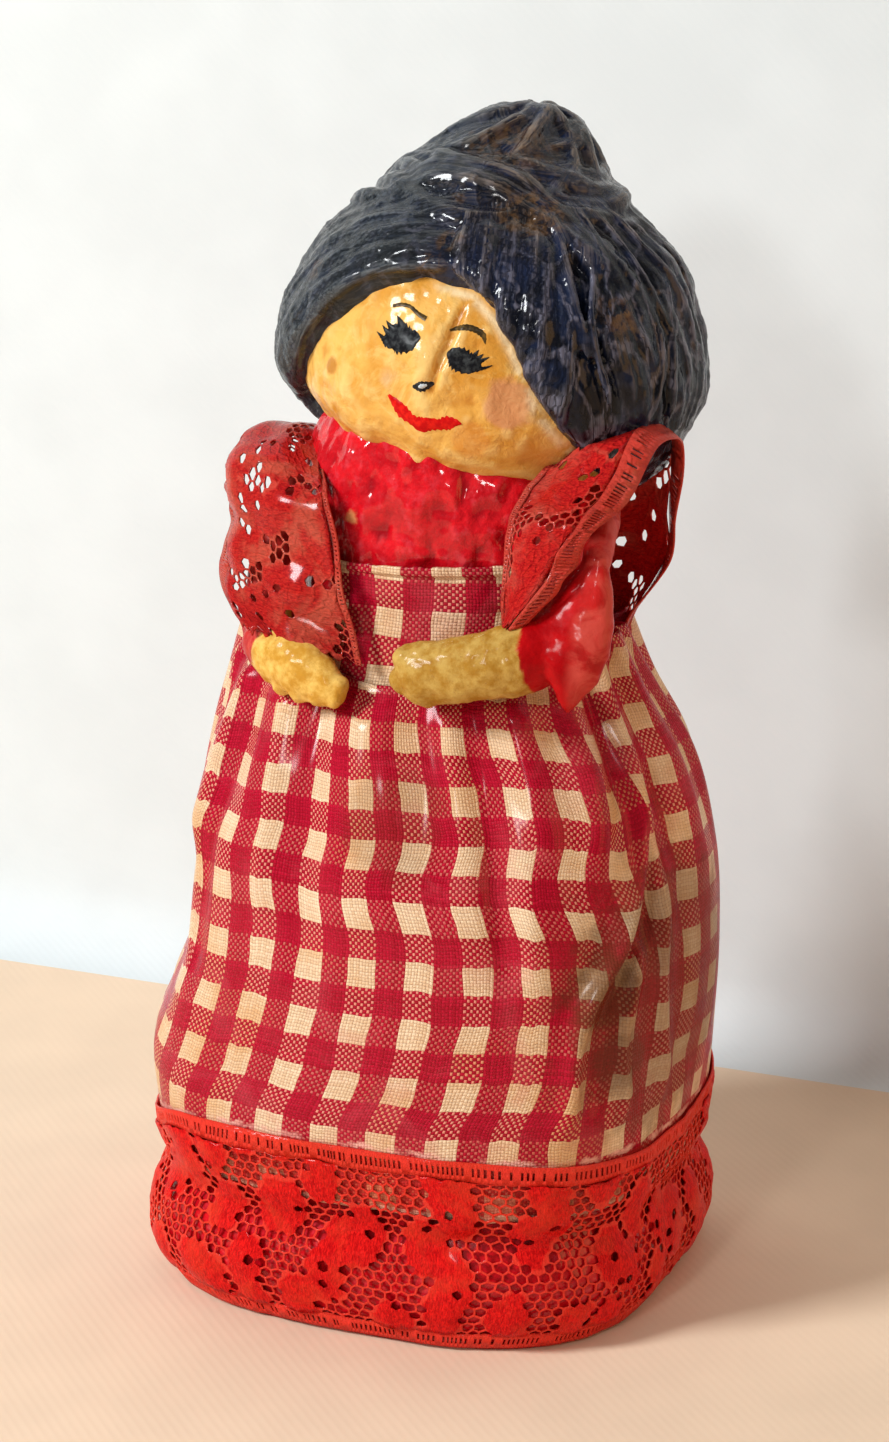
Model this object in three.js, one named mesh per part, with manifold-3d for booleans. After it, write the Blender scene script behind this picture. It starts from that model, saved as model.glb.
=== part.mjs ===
// A papier-mache doll about 130 mm tall, in a gathered gingham skirt and bib with lace at the hem and
// shoulders. Millimetres, +Z up, the doll faces -Y, and the origin is the middle of the underside.
import * as THREE from "three";
import { mergeVertices } from "three/addons/utils/BufferGeometryUtils.js";
import Module from "manifold-3d";

const GAP = 0.35; // clear space between neighbouring pieces
const CLOTH = 0.8; // thickness of the varnished cloth and lace
const RING_STEPS = 56; // points round the skirt and hem

// The core's cross-sections are squarish ovals: height, half width, half depth, squareness, and how
// far the middle stands towards +X.
const CORE_RINGS = [
  { z: 0, a: 27.0, b: 24.4, n: 3.0, lean: -0.5 },
  { z: 1.2, a: 27.8, b: 24.9, n: 3.0, lean: -0.5 },
  { z: 5, a: 29.7, b: 26.2, n: 3.0, lean: -0.6 },
  { z: 10, a: 29.2, b: 25.9, n: 3.0, lean: -0.5 },
  { z: 15, a: 27.2, b: 24.2, n: 2.9, lean: -0.3 },
  { z: 26, a: 26.2, b: 23.6, n: 2.8, lean: 0 },
  { z: 40, a: 24.6, b: 22.0, n: 2.7, lean: 0.2 },
  { z: 54, a: 22.0, b: 19.4, n: 2.6, lean: 0.3 },
  { z: 65, a: 18.4, b: 16.2, n: 2.4, lean: 0.5 },
  { z: 72, a: 16.2, b: 14.4, n: 2.3, lean: 1.0 },
  { z: 79, a: 15.8, b: 14.0, n: 2.3, lean: 1.8 },
  { z: 87, a: 16.4, b: 14.2, n: 2.3, lean: 2.3 },
  { z: 93, a: 16.2, b: 13.8, n: 2.2, lean: 2.5 },
  { z: 97, a: 15.0, b: 13.0, n: 2.1, lean: 2.7 },
  { z: 103, a: 10.6, b: 10.4, n: 2.0, lean: 3.4 },
];

// The skirt's outer cross-sections, with how far it billows on the +X side.
const SKIRT_RINGS = [
  { z: 15.5, a: 28.9, b: 26.4, n: 2.9, lean: -0.5, billow: 0.0 },
  { z: 23, a: 29.3, b: 26.9, n: 2.8, lean: -0.5, billow: 0.4 },
  { z: 30, a: 28.2, b: 26.2, n: 2.7, lean: -0.4, billow: 2.2 },
  { z: 40, a: 27.2, b: 25.2, n: 2.6, lean: 0, billow: 3.4 },
  { z: 52, a: 25.8, b: 23.6, n: 2.5, lean: 0, billow: 4.0 },
  { z: 62, a: 23.6, b: 20.8, n: 2.4, lean: -0.2, billow: 3.6 },
  { z: 69, a: 21.4, b: 17.7, n: 2.3, lean: -0.5, billow: 2.2 },
  { z: 76, a: 19.6, b: 15.9, n: 2.3, lean: -0.4, billow: 0.6 },
];
const SKIRT_TOP_FRONT = 71.8; // the waist seam, under the arms
const SKIRT_TOP_SIDE = 75.5; // the gathered edge at the sides and back
const SKIRT_MIDDLE = 45;
const GATHERS = 14;
const GATHER_HEIGHT = 0.8;
const GATHERS_FADE_OUT = 28; // the gathers run down to this height
const SOFT_FOLDS = 8;
const SOFT_FOLD_HEIGHT = 0.5;
const FOLD_DRIFT = THREE.MathUtils.degToRad(0.25); // the folds slant, by this much for each millimetre up
const FOLDS_START = 18;
const FOLDS_GROW = 12;
const DEEP_FOLD = { at: THREE.MathUtils.degToRad(-41), width: 0.1, height: -1.3 };
const FOLD_LIP = { at: THREE.MathUtils.degToRad(-28), width: 0.12, height: 1.2 };

const HEM_LOW = 0.5; // the lace stops just above the surface that the core stands on
const HEM_TOP = 21.5;
const HEM_TOP_RISE = 1.5; // how much higher the lace reaches at the front
const HEM_WAVE = 0.4; // how unevenly it was glued on
const HEM_BEND = 13; // up to here the lace lies on the core, and above it on the skirt

// The head is a wide lumpy ball, taller above its middle than below it.
const HEAD_CENTRE = new THREE.Vector3(4.8, 3, 103.2);
const HEAD_WIDE = 20.4;
const HEAD_DEEP = 18.8;
const HEAD_UP = 18.6;
const HEAD_DOWN = 11.4;
const HEAD_SQUARE_UP = 1.95;
const HEAD_SQUARE_DOWN = 2.7;
const HEAD_TILT = THREE.MathUtils.degToRad(11); // the crown leans to +X

// The hair leaves the face open this far from the head's middle.
const FACE_RIGHT = 14.5;
const FACE_LEFT = 20.5;
const FACE_UP = 11.5;
const FACE_DOWN = 18;
const FACE_BACK = -5;

const HAIR_THICK = 2.7;
const LOCKS = 15;
const LOCK_HEIGHT = 1.3;
const LOCK_TWIST = 0.5;
const BUN_PEAK = new THREE.Vector3(8.8, 10.5, 130.4);
const BUN_BALLS = [
  { radius: 11.6, below: 2.6 }, // the coil of the bun
  { radius: 6.0, below: 0 }, // its tip
];

const BIB_MIDDLE = THREE.MathUtils.degToRad(-74); // the bib sits a little to +X
const BIB_HALF_ANGLE = THREE.MathUtils.degToRad(40);
const BIB_LOW = 72.6;
const BIB_HIGH = 84.4;

// Each sleeve frill is a strip of lace between an inner edge, on the shoulder, and a free outer edge.
// The stations run from the front of the waist over the shoulder to the back.
const LEFT_SLEEVE = [
  { inner: [-3.0, -16.4, 73.4], outer: [-20.3, -12.5, 78.0] },
  { inner: [-5.2, -16.2, 81.0], outer: [-21.6, -9.6, 82.0] },
  { inner: [-7.6, -14.4, 89.5], outer: [-21.2, -6.5, 86.6] },
  { inner: [-9.4, -9.0, 95.0], outer: [-22.0, -4.5, 91.4] },
  { inner: [-10.6, -1.0, 95.6], outer: [-21.6, 0.5, 93.6] },
  { inner: [-10.8, 7.0, 90.0], outer: [-20.6, 6.5, 87.6] },
  { inner: [-9.4, 10.2, 80.0], outer: [-19.4, 9.4, 79.4] },
];
const RIGHT_SLEEVE = [
  { inner: [12.6, -16.2, 75.6], outer: [16.8, -17.6, 78.4] },
  { inner: [12.4, -15.6, 83.0], outer: [20.8, -13.8, 85.2] },
  { inner: [14.0, -12.4, 91.0], outer: [24.2, -10.0, 92.0] },
  { inner: [15.8, -7.0, 95.4], outer: [27.4, -4.6, 97.8] },
  { inner: [16.2, 2.0, 95.0], outer: [27.2, 1.0, 93.0] },
  { inner: [15.6, 8.0, 88.0], outer: [25.6, 4.8, 83.4] },
  { inner: [14.4, 9.6, 79.0], outer: [21.6, 7.0, 74.6] },
];
const SLEEVE_PUFF = 2.2;
const RUFFLES = 5;
const RUFFLE_HEIGHT = 0.45;

// The arms, as paths of {x, y, z, r}.
const LEFT_UPPER_ARM = [
  { x: -14.6, y: -5.0, z: 89.0, r: 2.6 },
  { x: -15.8, y: -9.6, z: 82.0, r: 2.6 },
  { x: -15.4, y: -12.4, z: 76.0, r: 2.6 },
];
const LEFT_HAND = [
  { x: -15.0, y: -13.2, z: 75.2, r: 2.6 },
  { x: -13.2, y: -16.4, z: 73.4, r: 2.7 },
  { x: -10.0, y: -18.4, z: 72.6, r: 3.2 },
  { x: -5.8, y: -19.2, z: 70.9, r: 2.0 },
];
const RIGHT_UPPER_ARM = [
  { x: 19.0, y: -4.0, z: 88.0, r: 3.0 },
  { x: 20.2, y: -10.0, z: 82.0, r: 3.8 },
  { x: 20.4, y: -15.6, z: 76.8, r: 4.4 },
  { x: 21.6, y: -17.4, z: 72.0, r: 1.4 },
];
const RIGHT_FOREARM = [
  { x: 19.0, y: -17.8, z: 77.2, r: 3.3 },
  { x: 13.6, y: -19.2, z: 75.4, r: 2.9 },
  { x: 8.2, y: -19.4, z: 74.0, r: 3.0 },
  { x: 6.4, y: -19.2, z: 73.6, r: 2.6 },
];

const wasm = await Module();
wasm.setup();

// ---------- solids ----------

function geometryFrom(points, triangles) {
  const geometry = new THREE.BufferGeometry();
  const numbers = points.flatMap((p) => [p.x, p.y, p.z]);
  geometry.setAttribute("position", new THREE.Float32BufferAttribute(numbers, 3));
  geometry.setIndex(triangles);
  return geometry;
}

function solidOf(geometry) {
  const merged = mergeVertices(geometry, 1e-4);
  const mesh = new wasm.Mesh({
    numProp: 3,
    vertProperties: merged.getAttribute("position").array,
    triVerts: new Uint32Array(merged.index.array),
  });
  return new wasm.Manifold(mesh);
}

function geometryOf(solid) {
  const mesh = solid.getMesh();
  const geometry = new THREE.BufferGeometry();
  geometry.setAttribute("position", new THREE.Float32BufferAttribute(mesh.vertProperties, 3));
  geometry.setIndex(Array.from(mesh.triVerts));
  return geometry;
}

// The main part of a solid, without the slivers that a cut leaves beyond its neighbour.
function largest(solid) {
  return solid.decompose().reduce((best, part) => (part.volume() > best.volume() ? part : best));
}

function middleOf(ring) {
  return ring.reduce((sum, p) => sum.add(p), new THREE.Vector3()).divideScalar(ring.length);
}

// Joins rings of points, each counter-clockwise seen from above, from the lowest to the highest.
// With wrap the last ring joins the first, as in a hollow band, and otherwise flat ends close it.
function loft(rings, wrap = false) {
  const count = rings[0].length;
  const points = rings.flat();
  const triangles = [];
  const joins = wrap ? rings.length : rings.length - 1;
  for (let k = 0; k < joins; k++) {
    const low = k * count;
    const high = ((k + 1) % rings.length) * count;
    for (let i = 0; i < count; i++) {
      const j = (i + 1) % count;
      triangles.push(low + i, low + j, high + j, low + i, high + j, high + i);
    }
  }
  if (!wrap) {
    const last = (rings.length - 1) * count;
    const bottom = points.push(middleOf(rings[0])) - 1;
    const top = points.push(middleOf(rings[rings.length - 1])) - 1;
    for (let i = 0; i < count; i++) {
      const j = (i + 1) % count;
      triangles.push(bottom, j, i, top, last + i, last + j);
    }
  }
  return geometryFrom(points, triangles);
}

// A closed sheet between two grids of points, front and behind, both indexed [row][column].
function sheetSolid(front, behind) {
  const rows = front.length;
  const columns = front[0].length;
  const points = [...front.flat(), ...behind.flat()];
  const offset = rows * columns;
  const at = (r, c) => r * columns + c;
  const triangles = [];
  const quad = (a, b, c, d) => triangles.push(a, b, c, a, c, d);
  for (let r = 0; r < rows - 1; r++) {
    for (let c = 0; c < columns - 1; c++) {
      const corners = [at(r, c), at(r, c + 1), at(r + 1, c + 1), at(r + 1, c)];
      quad(...corners);
      quad(...corners.reverse().map((k) => k + offset));
    }
  }
  const edge = [];
  for (let c = 0; c < columns - 1; c++) edge.push(at(0, c));
  for (let r = 0; r < rows - 1; r++) edge.push(at(r, columns - 1));
  for (let c = columns - 1; c > 0; c--) edge.push(at(rows - 1, c));
  for (let r = rows - 1; r > 0; r--) edge.push(at(r, 0));
  edge.forEach((k, i) => {
    const next = edge[(i + 1) % edge.length];
    quad(next, k, k + offset, next + offset);
  });
  return geometryFrom(points, triangles);
}

// A limb along a path of {x, y, z, r}, with domed ends.
function limb(stations, sides = 8) {
  const places = stations.map((s) => new THREE.Vector3(s.x, s.y, s.z));
  const curve = new THREE.CatmullRomCurve3(places, false, "centripetal");
  const steps = (stations.length - 1) * 2;
  const frames = curve.computeFrenetFrames(steps, false);
  const radiusAt = (t) => {
    const k = Math.min(Math.floor(t * (stations.length - 1)), stations.length - 2);
    return THREE.MathUtils.lerp(stations[k].r, stations[k + 1].r, t * (stations.length - 1) - k);
  };
  const ring = (t, step, shrink) => {
    const radius = radiusAt(t) * shrink;
    const ahead = radiusAt(t) * Math.sqrt(1 - shrink * shrink) * (t > 0.5 ? 1 : -1);
    const centre = curve.getPoint(t).addScaledVector(frames.tangents[step], ahead);
    return Array.from({ length: sides }, (_, i) => {
      const angle = (2 * Math.PI * i) / sides;
      return centre
        .clone()
        .addScaledVector(frames.normals[step], radius * Math.cos(angle))
        .addScaledVector(frames.binormals[step], radius * Math.sin(angle));
    });
  };
  const dome = [0.4, 0.8];
  const rings = dome.map((shrink) => ring(0, 0, shrink));
  for (let k = 0; k <= steps; k++) rings.push(ring(k / steps, k, 1));
  dome.reverse().forEach((shrink) => rings.push(ring(1, steps, shrink)));
  return solidOf(loft(rings));
}

// ---------- cross-sections ----------

function smooth(t) {
  const x = Math.min(Math.max(t, 0), 1);
  return x * x * (3 - 2 * x);
}

// The cross-section at a height, blended between the listed rings.
function sectionAt(rings, z) {
  const found = rings.findIndex((r) => z <= r.z);
  const k = found < 0 ? rings.length - 1 : Math.max(found, 1);
  const [low, high] = [rings[k - 1], rings[k]];
  const t = Math.min(Math.max((z - low.z) / (high.z - low.z), 0), 1);
  const mix = (key) => THREE.MathUtils.lerp(low[key] ?? 0, high[key] ?? 0, t);
  return { a: mix("a"), b: mix("b"), n: mix("n"), lean: mix("lean"), billow: mix("billow") };
}

function ovalPoint(section, angle, z, grow) {
  const c = Math.cos(angle);
  const s = Math.sin(angle);
  const x = (section.a + grow) * Math.sign(c) * Math.abs(c) ** (2 / section.n);
  const y = (section.b + grow) * Math.sign(s) * Math.abs(s) ** (2 / section.n);
  const billow = section.billow * smooth((c + 0.6) / 1.6);
  return new THREE.Vector3(x + section.lean + billow, y, z);
}

function corePoint(angle, z, grow = 0) {
  return ovalPoint(sectionAt(CORE_RINGS, z), angle, z, grow);
}

// How near an angle is to a fold's middle, from 0 to 1.
function near(angle, middle, width) {
  const away = Math.atan2(Math.sin(angle - middle), Math.cos(angle - middle));
  return Math.exp(-((away / width) ** 2));
}

// How far the cloth stands out from its plain oval: gathers under the waist that fade downwards, long
// soft folds, and one deep fold with a raised lip, all held flat where the lace grips the hem.
function foldAt(angle, z) {
  const rise = smooth((z - GATHERS_FADE_OUT) / (SKIRT_TOP_FRONT - GATHERS_FADE_OUT));
  const gathers = GATHER_HEIGHT * rise * rise * Math.cos(GATHERS * angle);
  const drift = FOLD_DRIFT * (z - SKIRT_MIDDLE);
  const held = smooth((z - FOLDS_START) / FOLDS_GROW);
  const soft = SOFT_FOLD_HEIGHT * Math.cos(SOFT_FOLDS * angle + drift);
  const deep = DEEP_FOLD.height * near(angle, DEEP_FOLD.at + drift, DEEP_FOLD.width);
  const lip = FOLD_LIP.height * near(angle, FOLD_LIP.at + drift, FOLD_LIP.width);
  return gathers + (soft + deep + lip) * held;
}

function skirtPoint(angle, z, grow = 0) {
  return ovalPoint(sectionAt(SKIRT_RINGS, z), angle, z, foldAt(angle, z) + grow);
}

function skirtTop(angle) {
  const side = Math.cos(angle) ** 2;
  const back = smooth(Math.sin(angle) + 0.4);
  return THREE.MathUtils.lerp(SKIRT_TOP_FRONT, SKIRT_TOP_SIDE, Math.max(side, back));
}

const ringAngles = (steps) => Array.from({ length: steps }, (_, i) => (2 * Math.PI * i) / steps);
const angles = ringAngles(RING_STEPS);

// ---------- head and hair ----------

const headTilt = new THREE.Quaternion().setFromAxisAngle(new THREE.Vector3(0, 1, 0), HEAD_TILT);
const headUntilt = headTilt.clone().invert();

// The head's own radius along a direction from its middle.
function headRadius(direction) {
  const d = direction.clone().applyQuaternion(headUntilt);
  const [tall, power] = d.z > 0 ? [HEAD_UP, HEAD_SQUARE_UP] : [HEAD_DOWN, HEAD_SQUARE_DOWN];
  const flat = Math.hypot(d.x / HEAD_WIDE, d.y / HEAD_DEEP);
  return (flat ** power + Math.abs(d.z / tall) ** power) ** (-1 / power);
}

const bunAxis = BUN_PEAK.clone().sub(HEAD_CENTRE).normalize();
const bunReach = BUN_PEAK.distanceTo(HEAD_CENTRE);

// The outer radius of the hair: the head, a coat of hair, and the round bun on the crown.
function hairRadius(direction) {
  const coat = headRadius(direction) + HAIR_THICK;
  const balls = BUN_BALLS.map(({ radius, below }) => {
    const away = bunReach - below - radius;
    const along = away * direction.dot(bunAxis);
    const inside = radius ** 2 - away ** 2 + along ** 2;
    return inside > 0 && along > 0 ? along + Math.sqrt(inside) : 0;
  });
  return Math.max(coat, ...balls);
}

// A ball of points round the head's middle, with its poles on the bun's axis.
function ball(radiusAt, rows, columns) {
  const turn = new THREE.Quaternion().setFromUnitVectors(new THREE.Vector3(0, 0, 1), bunAxis);
  const rings = [];
  for (let r = 0; r < rows; r++) {
    const polar = Math.PI * (1 - (r + 0.5) / rows);
    rings.push(
      ringAngles(columns).map((angle) => {
        const flat = Math.sin(polar);
        const d = new THREE.Vector3(flat * Math.cos(angle), flat * Math.sin(angle), Math.cos(polar));
        d.applyQuaternion(turn);
        return d.clone().multiplyScalar(radiusAt(d, polar, angle)).add(HEAD_CENTRE);
      }),
    );
  }
  return solidOf(loft(rings));
}

function headSolid(grow) {
  return ball((d) => headRadius(d) + grow, 15, 30);
}

// Locks are ridges with sharp creases between them, which run from the bun down round the head.
function lockAt(polar, angle) {
  const wave = Math.abs(Math.cos((LOCKS / 2) * angle + LOCK_TWIST * polar * 4));
  return LOCK_HEIGHT * (wave - 0.5) * smooth(polar / 0.5);
}

function hairSolid(grow) {
  return ball((d, polar, angle) => hairRadius(d) + lockAt(polar, angle) + grow, 18, 60);
}

// The block that clears the hair from the face and throat. Its outline, seen from the front, is an
// arch that reaches further down on the -X side.
function faceBlock() {
  const outline = ringAngles(28).map((angle) => {
    const wide = Math.cos(angle) > 0 ? FACE_RIGHT : FACE_LEFT;
    const tall = Math.sin(angle) > 0 ? FACE_UP : FACE_DOWN;
    return { x: wide * Math.cos(angle), z: tall * Math.sin(angle) };
  });
  const place = (p, y) => new THREE.Vector3(p.x, y, p.z).applyQuaternion(headTilt).add(HEAD_CENTRE);
  const back = outline.map((p) => place(p, FACE_BACK));
  const front = outline.map((p) => place(p, -1.5 * HEAD_DEEP));
  return solidOf(loft([back, front]));
}

// ---------- pieces ----------

function torsoSolid(grow) {
  const rings = CORE_RINGS.map((r) => ringAngles(40).map((angle) => corePoint(angle, r.z, grow)));
  rings[0].forEach((p) => (p.z -= grow));
  rings[rings.length - 1].forEach((p) => (p.z += grow));
  return solidOf(loft(rings));
}

function bodySolid() {
  return torsoSolid(0).add(headSolid(0));
}

function skirtGeometry() {
  const outerLevels = [0, 0.12, 0.24, 0.36, 0.48, 0.6, 0.7, 0.79, 0.87, 0.94, 1];
  const innerLevels = [0, 0.24, 0.48, 0.7, 0.87, 1];
  const low = SKIRT_RINGS[0].z;
  const height = (angle, level) => THREE.MathUtils.lerp(low, skirtTop(angle), level);
  const outer = outerLevels.map((level) => angles.map((angle) => skirtPoint(angle, height(angle, level))));
  const inner = innerLevels.map((level) =>
    angles.map((angle) => {
      const z = height(angle, level);
      const cloth = skirtPoint(angle, z, -CLOTH);
      const core = corePoint(angle, z, GAP);
      return cloth.lengthSq() > core.lengthSq() ? cloth : core;
    }),
  );
  return loft([...outer, ...inner.reverse()], true);
}

function hemTop(angle) {
  return HEM_TOP + HEM_TOP_RISE * smooth(-Math.sin(angle)) + HEM_WAVE * Math.sin(3 * angle);
}

function hemGeometry() {
  const foot = [HEM_LOW, ...CORE_RINGS.map((r) => r.z).filter((z) => z > 2 && z < HEM_BEND), HEM_BEND];
  const levels = [...foot.map((z) => () => z), hemTop];
  const under = (angle, z) => {
    const core = corePoint(angle, z, GAP);
    const cloth = skirtPoint(angle, Math.max(z, SKIRT_RINGS[0].z), GAP);
    cloth.z = z;
    const overSkirt = z >= HEM_BEND && cloth.lengthSq() > core.lengthSq();
    return overSkirt ? cloth : core;
  };
  const inner = levels.map((heightAt) => angles.map((angle) => under(angle, heightAt(angle))));
  const outer = inner.map((ring) =>
    ring.map((p) => {
      const out = new THREE.Vector3(p.x, p.y, 0).normalize();
      return p.clone().addScaledVector(out, CLOTH);
    }),
  );
  return loft([...outer, ...inner.reverse()], true);
}

// The upper part of the skirt and all inside it, a gap larger all round.
function skirtRoom() {
  const low = SKIRT_RINGS[3].z;
  const levels = [0, 0.4, 0.7, 1];
  const rings = levels.map((level) =>
    angles.map((angle) => skirtPoint(angle, THREE.MathUtils.lerp(low, skirtTop(angle) + GAP, level), GAP)),
  );
  return solidOf(loft(rings));
}

function bibSolid(grow) {
  const columns = 9;
  const rows = 3;
  const grid = (out) =>
    Array.from({ length: rows }, (_, r) => {
      const z = THREE.MathUtils.lerp(BIB_LOW - grow, BIB_HIGH + grow, r / (rows - 1));
      return Array.from({ length: columns }, (_, c) => {
        const side = (2 * c) / (columns - 1) - 1;
        return corePoint(BIB_MIDDLE + side * BIB_HALF_ANGLE, z, out);
      });
    });
  return solidOf(sheetSolid(grid(GAP + CLOTH + grow), grid(GAP - grow)));
}

function sleeveSolid(stations, side, grow) {
  const edge = (name) => new THREE.CatmullRomCurve3(stations.map((s) => new THREE.Vector3(...s[name])));
  const inner = edge("inner");
  const outer = edge("outer");
  const rows = 15;
  const columns = 6;
  const at = (u, v, out) => {
    const base = inner.getPoint(u).lerp(outer.getPoint(u), v);
    const across = outer.getPoint(u).sub(inner.getPoint(u));
    const normal = inner.getTangent(u).cross(across).normalize().multiplyScalar(-side);
    const puff = SLEEVE_PUFF * Math.sin(Math.PI * v);
    const ruffle = RUFFLE_HEIGHT * Math.cos(2 * Math.PI * RUFFLES * u) * v;
    return base.addScaledVector(normal, puff + ruffle + out);
  };
  const grid = (out) =>
    Array.from({ length: rows }, (_, r) =>
      Array.from({ length: columns }, (_, c) => at(r / (rows - 1), c / (columns - 1), out)),
    );
  const [front, behind] = [grid(CLOTH / 2 + grow), grid(-CLOTH / 2 - grow)];
  return solidOf(side > 0 ? sheetSolid(front, behind) : sheetSolid(behind, front));
}

const root = new THREE.Group();

function addNode(name, geometry, colour, roughness) {
  const material = new THREE.MeshStandardMaterial({ color: colour, roughness, metalness: 0 });
  const mesh = new THREE.Mesh(geometry, material);
  mesh.name = name;
  root.add(mesh);
}

const underSkirt = skirtRoom();
const bib = bibSolid(0).subtract(underSkirt);
const clothed = underSkirt.add(torsoSolid(GAP)).add(headSolid(GAP)).add(bibSolid(GAP));
const hair = hairSolid(0).subtract(headSolid(GAP)).subtract(faceBlock()).subtract(torsoSolid(GAP));
const hairRoom = hairSolid(GAP);
const room = clothed.add(hairRoom);
const leftSleeve = largest(sleeveSolid(LEFT_SLEEVE, -1, 0).subtract(room));
const rightSleeve = largest(sleeveSolid(RIGHT_SLEEVE, 1, 0).subtract(room));
const leftRoom = room.add(sleeveSolid(LEFT_SLEEVE, -1, GAP));
const leftArm = largest(limb(LEFT_UPPER_ARM).add(limb(LEFT_HAND)).subtract(leftRoom));
const rightRoom = room.add(sleeveSolid(RIGHT_SLEEVE, 1, GAP));
const rightArm = largest(limb(RIGHT_UPPER_ARM).add(limb(RIGHT_FOREARM)).subtract(rightRoom));

addNode("body", geometryOf(bodySolid()), 0xc8202a, 0.35);
addNode("hair", geometryOf(hair), 0x1b2140, 0.4);
addNode("left_arm", geometryOf(leftArm), 0xd8ab5c, 0.45);
addNode("right_arm", geometryOf(rightArm), 0xd8ab5c, 0.45);
addNode("bib", geometryOf(bib), 0xb5233c, 0.45);
addNode("skirt", skirtGeometry(), 0xb5233c, 0.45);
addNode("hem_lace", hemGeometry(), 0xd32a22, 0.6);
addNode("left_sleeve", geometryOf(leftSleeve), 0xc83c3c, 0.4);
addNode("right_sleeve", geometryOf(rightSleeve), 0xc83c3c, 0.4);

export default root;
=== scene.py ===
# Papier-mache figure in a red checked dress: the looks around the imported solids.
import math
import random
import bmesh
import bpy
import numpy as np
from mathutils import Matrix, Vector, kdtree
from mathutils.bvhtree import BVHTree


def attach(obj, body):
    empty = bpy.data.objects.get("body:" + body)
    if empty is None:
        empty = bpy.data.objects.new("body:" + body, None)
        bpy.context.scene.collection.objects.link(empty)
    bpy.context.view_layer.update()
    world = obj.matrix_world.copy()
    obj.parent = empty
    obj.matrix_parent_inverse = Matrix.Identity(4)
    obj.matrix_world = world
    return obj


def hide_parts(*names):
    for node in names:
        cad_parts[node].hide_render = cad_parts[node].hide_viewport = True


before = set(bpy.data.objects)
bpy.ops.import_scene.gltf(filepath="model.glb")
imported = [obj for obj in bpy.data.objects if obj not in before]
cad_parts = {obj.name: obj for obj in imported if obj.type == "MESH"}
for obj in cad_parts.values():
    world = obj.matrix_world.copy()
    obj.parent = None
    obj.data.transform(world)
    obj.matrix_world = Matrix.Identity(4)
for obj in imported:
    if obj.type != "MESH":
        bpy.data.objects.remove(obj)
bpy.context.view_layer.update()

mm = 0.001  # everything below is worked out in millimetres and written in metres
scene = bpy.context.scene


# ---------- camera, floor and light ----------

studio = {
    "turn": 22.0,  # degrees round from the front, towards the figure's left arm
    "rise": 17.0,
    "distance": 0.410,
    "target": (0.0007, 0.0003, 0.063),
    "lens": 92.84,
    "floorColour": (0.80, 0.62, 0.455, 1.0),
    "wallColour": (0.69, 0.745, 0.76, 1.0),
    "floorReach": 900,
    "wallBack": 63.0,  # millimetres behind the middle of the figure
    "wallReach": 700,
    "wallBend": 9.0,  # radius of the card's curve at the floor
    "daylight": 0.16,
}


def aim(thing, place, target):
    thing.location = place
    thing.rotation_euler = (Vector(target) - Vector(place)).to_track_quat("-Z", "Y").to_euler()
    scene.collection.objects.link(thing)


def buildCamera():
    turn, rise = math.radians(studio["turn"]), math.radians(studio["rise"])
    away = Vector((math.sin(turn) * math.cos(rise), -math.cos(turn) * math.cos(rise), math.sin(rise)))
    lens = bpy.data.cameras.new("camera")
    lens.lens, lens.sensor_width = studio["lens"], 36.0
    lens.clip_start, lens.clip_end = 0.01, 10.0
    camera = bpy.data.objects.new("camera", lens)
    aim(camera, Vector(studio["target"]) + away * studio["distance"], studio["target"])
    scene.camera = camera


def softLight(name, place, size, power, colour):
    lamp = bpy.data.lights.new(name, "AREA")
    lamp.shape, lamp.size, lamp.energy, lamp.color = "SQUARE", size, power, colour
    aim(bpy.data.objects.new(name, lamp), place, (0, 0, 0.07))


buildCamera()
softLight("windowLight", (-0.50, -0.55, 0.55), 0.20, 8.0, (0.95, 0.98, 1.0))
softLight("roomLight", (0.62, -0.10, 0.22), 0.34, 0.85, (1.0, 0.56, 0.22))
softLight("faceLight", (-0.02, -0.80, 0.42), 0.09, 1.2, (1.0, 0.98, 0.96))
print("camera and lights placed")


# ---------- small tools ----------

def smooth(t):
    t = np.clip(t, 0, 1)
    return t * t * (3 - 2 * t)


def lumps(points, size, seed):
    # smooth random height from -1 to 1, about one lump to each size
    spot = points / size + np.array([seed * 7.31, seed * 3.17, seed * 5.77])
    cell = np.floor(spot).astype(np.int64)
    part = spot - cell
    part = part * part * (3 - 2 * part)
    total = np.zeros(len(points))
    for i in (0, 1):
        for j in (0, 1):
            for k in (0, 1):
                n = (cell[:, 0] + i) * 73856093 ^ (cell[:, 1] + j) * 19349663 ^ (cell[:, 2] + k) * 83492791
                n = ((n ^ (n >> 13)) * 1274126177) & 0x7FFFFFFF
                n = ((n ^ (n >> 15)) * 668265263) & 0x7FFFFFFF
                share = (
                    (part[:, 0] if i else 1 - part[:, 0])
                    * (part[:, 1] if j else 1 - part[:, 1])
                    * (part[:, 2] if k else 1 - part[:, 2])
                )
                total += share * (n / 0x3FFFFFFF - 1)
    return total


def roughness(points, size, seed):
    # two layers of lumps, for a surface modelled by hand
    return lumps(points, size, seed) * 0.68 + lumps(points, size * 0.43, seed + 5) * 0.32


def throughKeys(keys, at):
    # smooth curve through rows of values; the first column says where each row lies
    table = np.array(keys, float)
    where = table[:, 0]
    slope = np.gradient(table, where, axis=0)
    low = np.clip(np.searchsorted(where, at) - 1, 0, len(where) - 2)
    gap = (where[low + 1] - where[low])[:, None]
    t = np.clip((np.asarray(at) - where[low])[:, None] / gap, 0, 1)
    return (
        table[low] * (2 * t**3 - 3 * t**2 + 1)
        + slope[low] * gap * (t**3 - 2 * t**2 + t)
        + table[low + 1] * (3 * t**2 - 2 * t**3)
        + slope[low + 1] * gap * (t**3 - t**2)
    )


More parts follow.
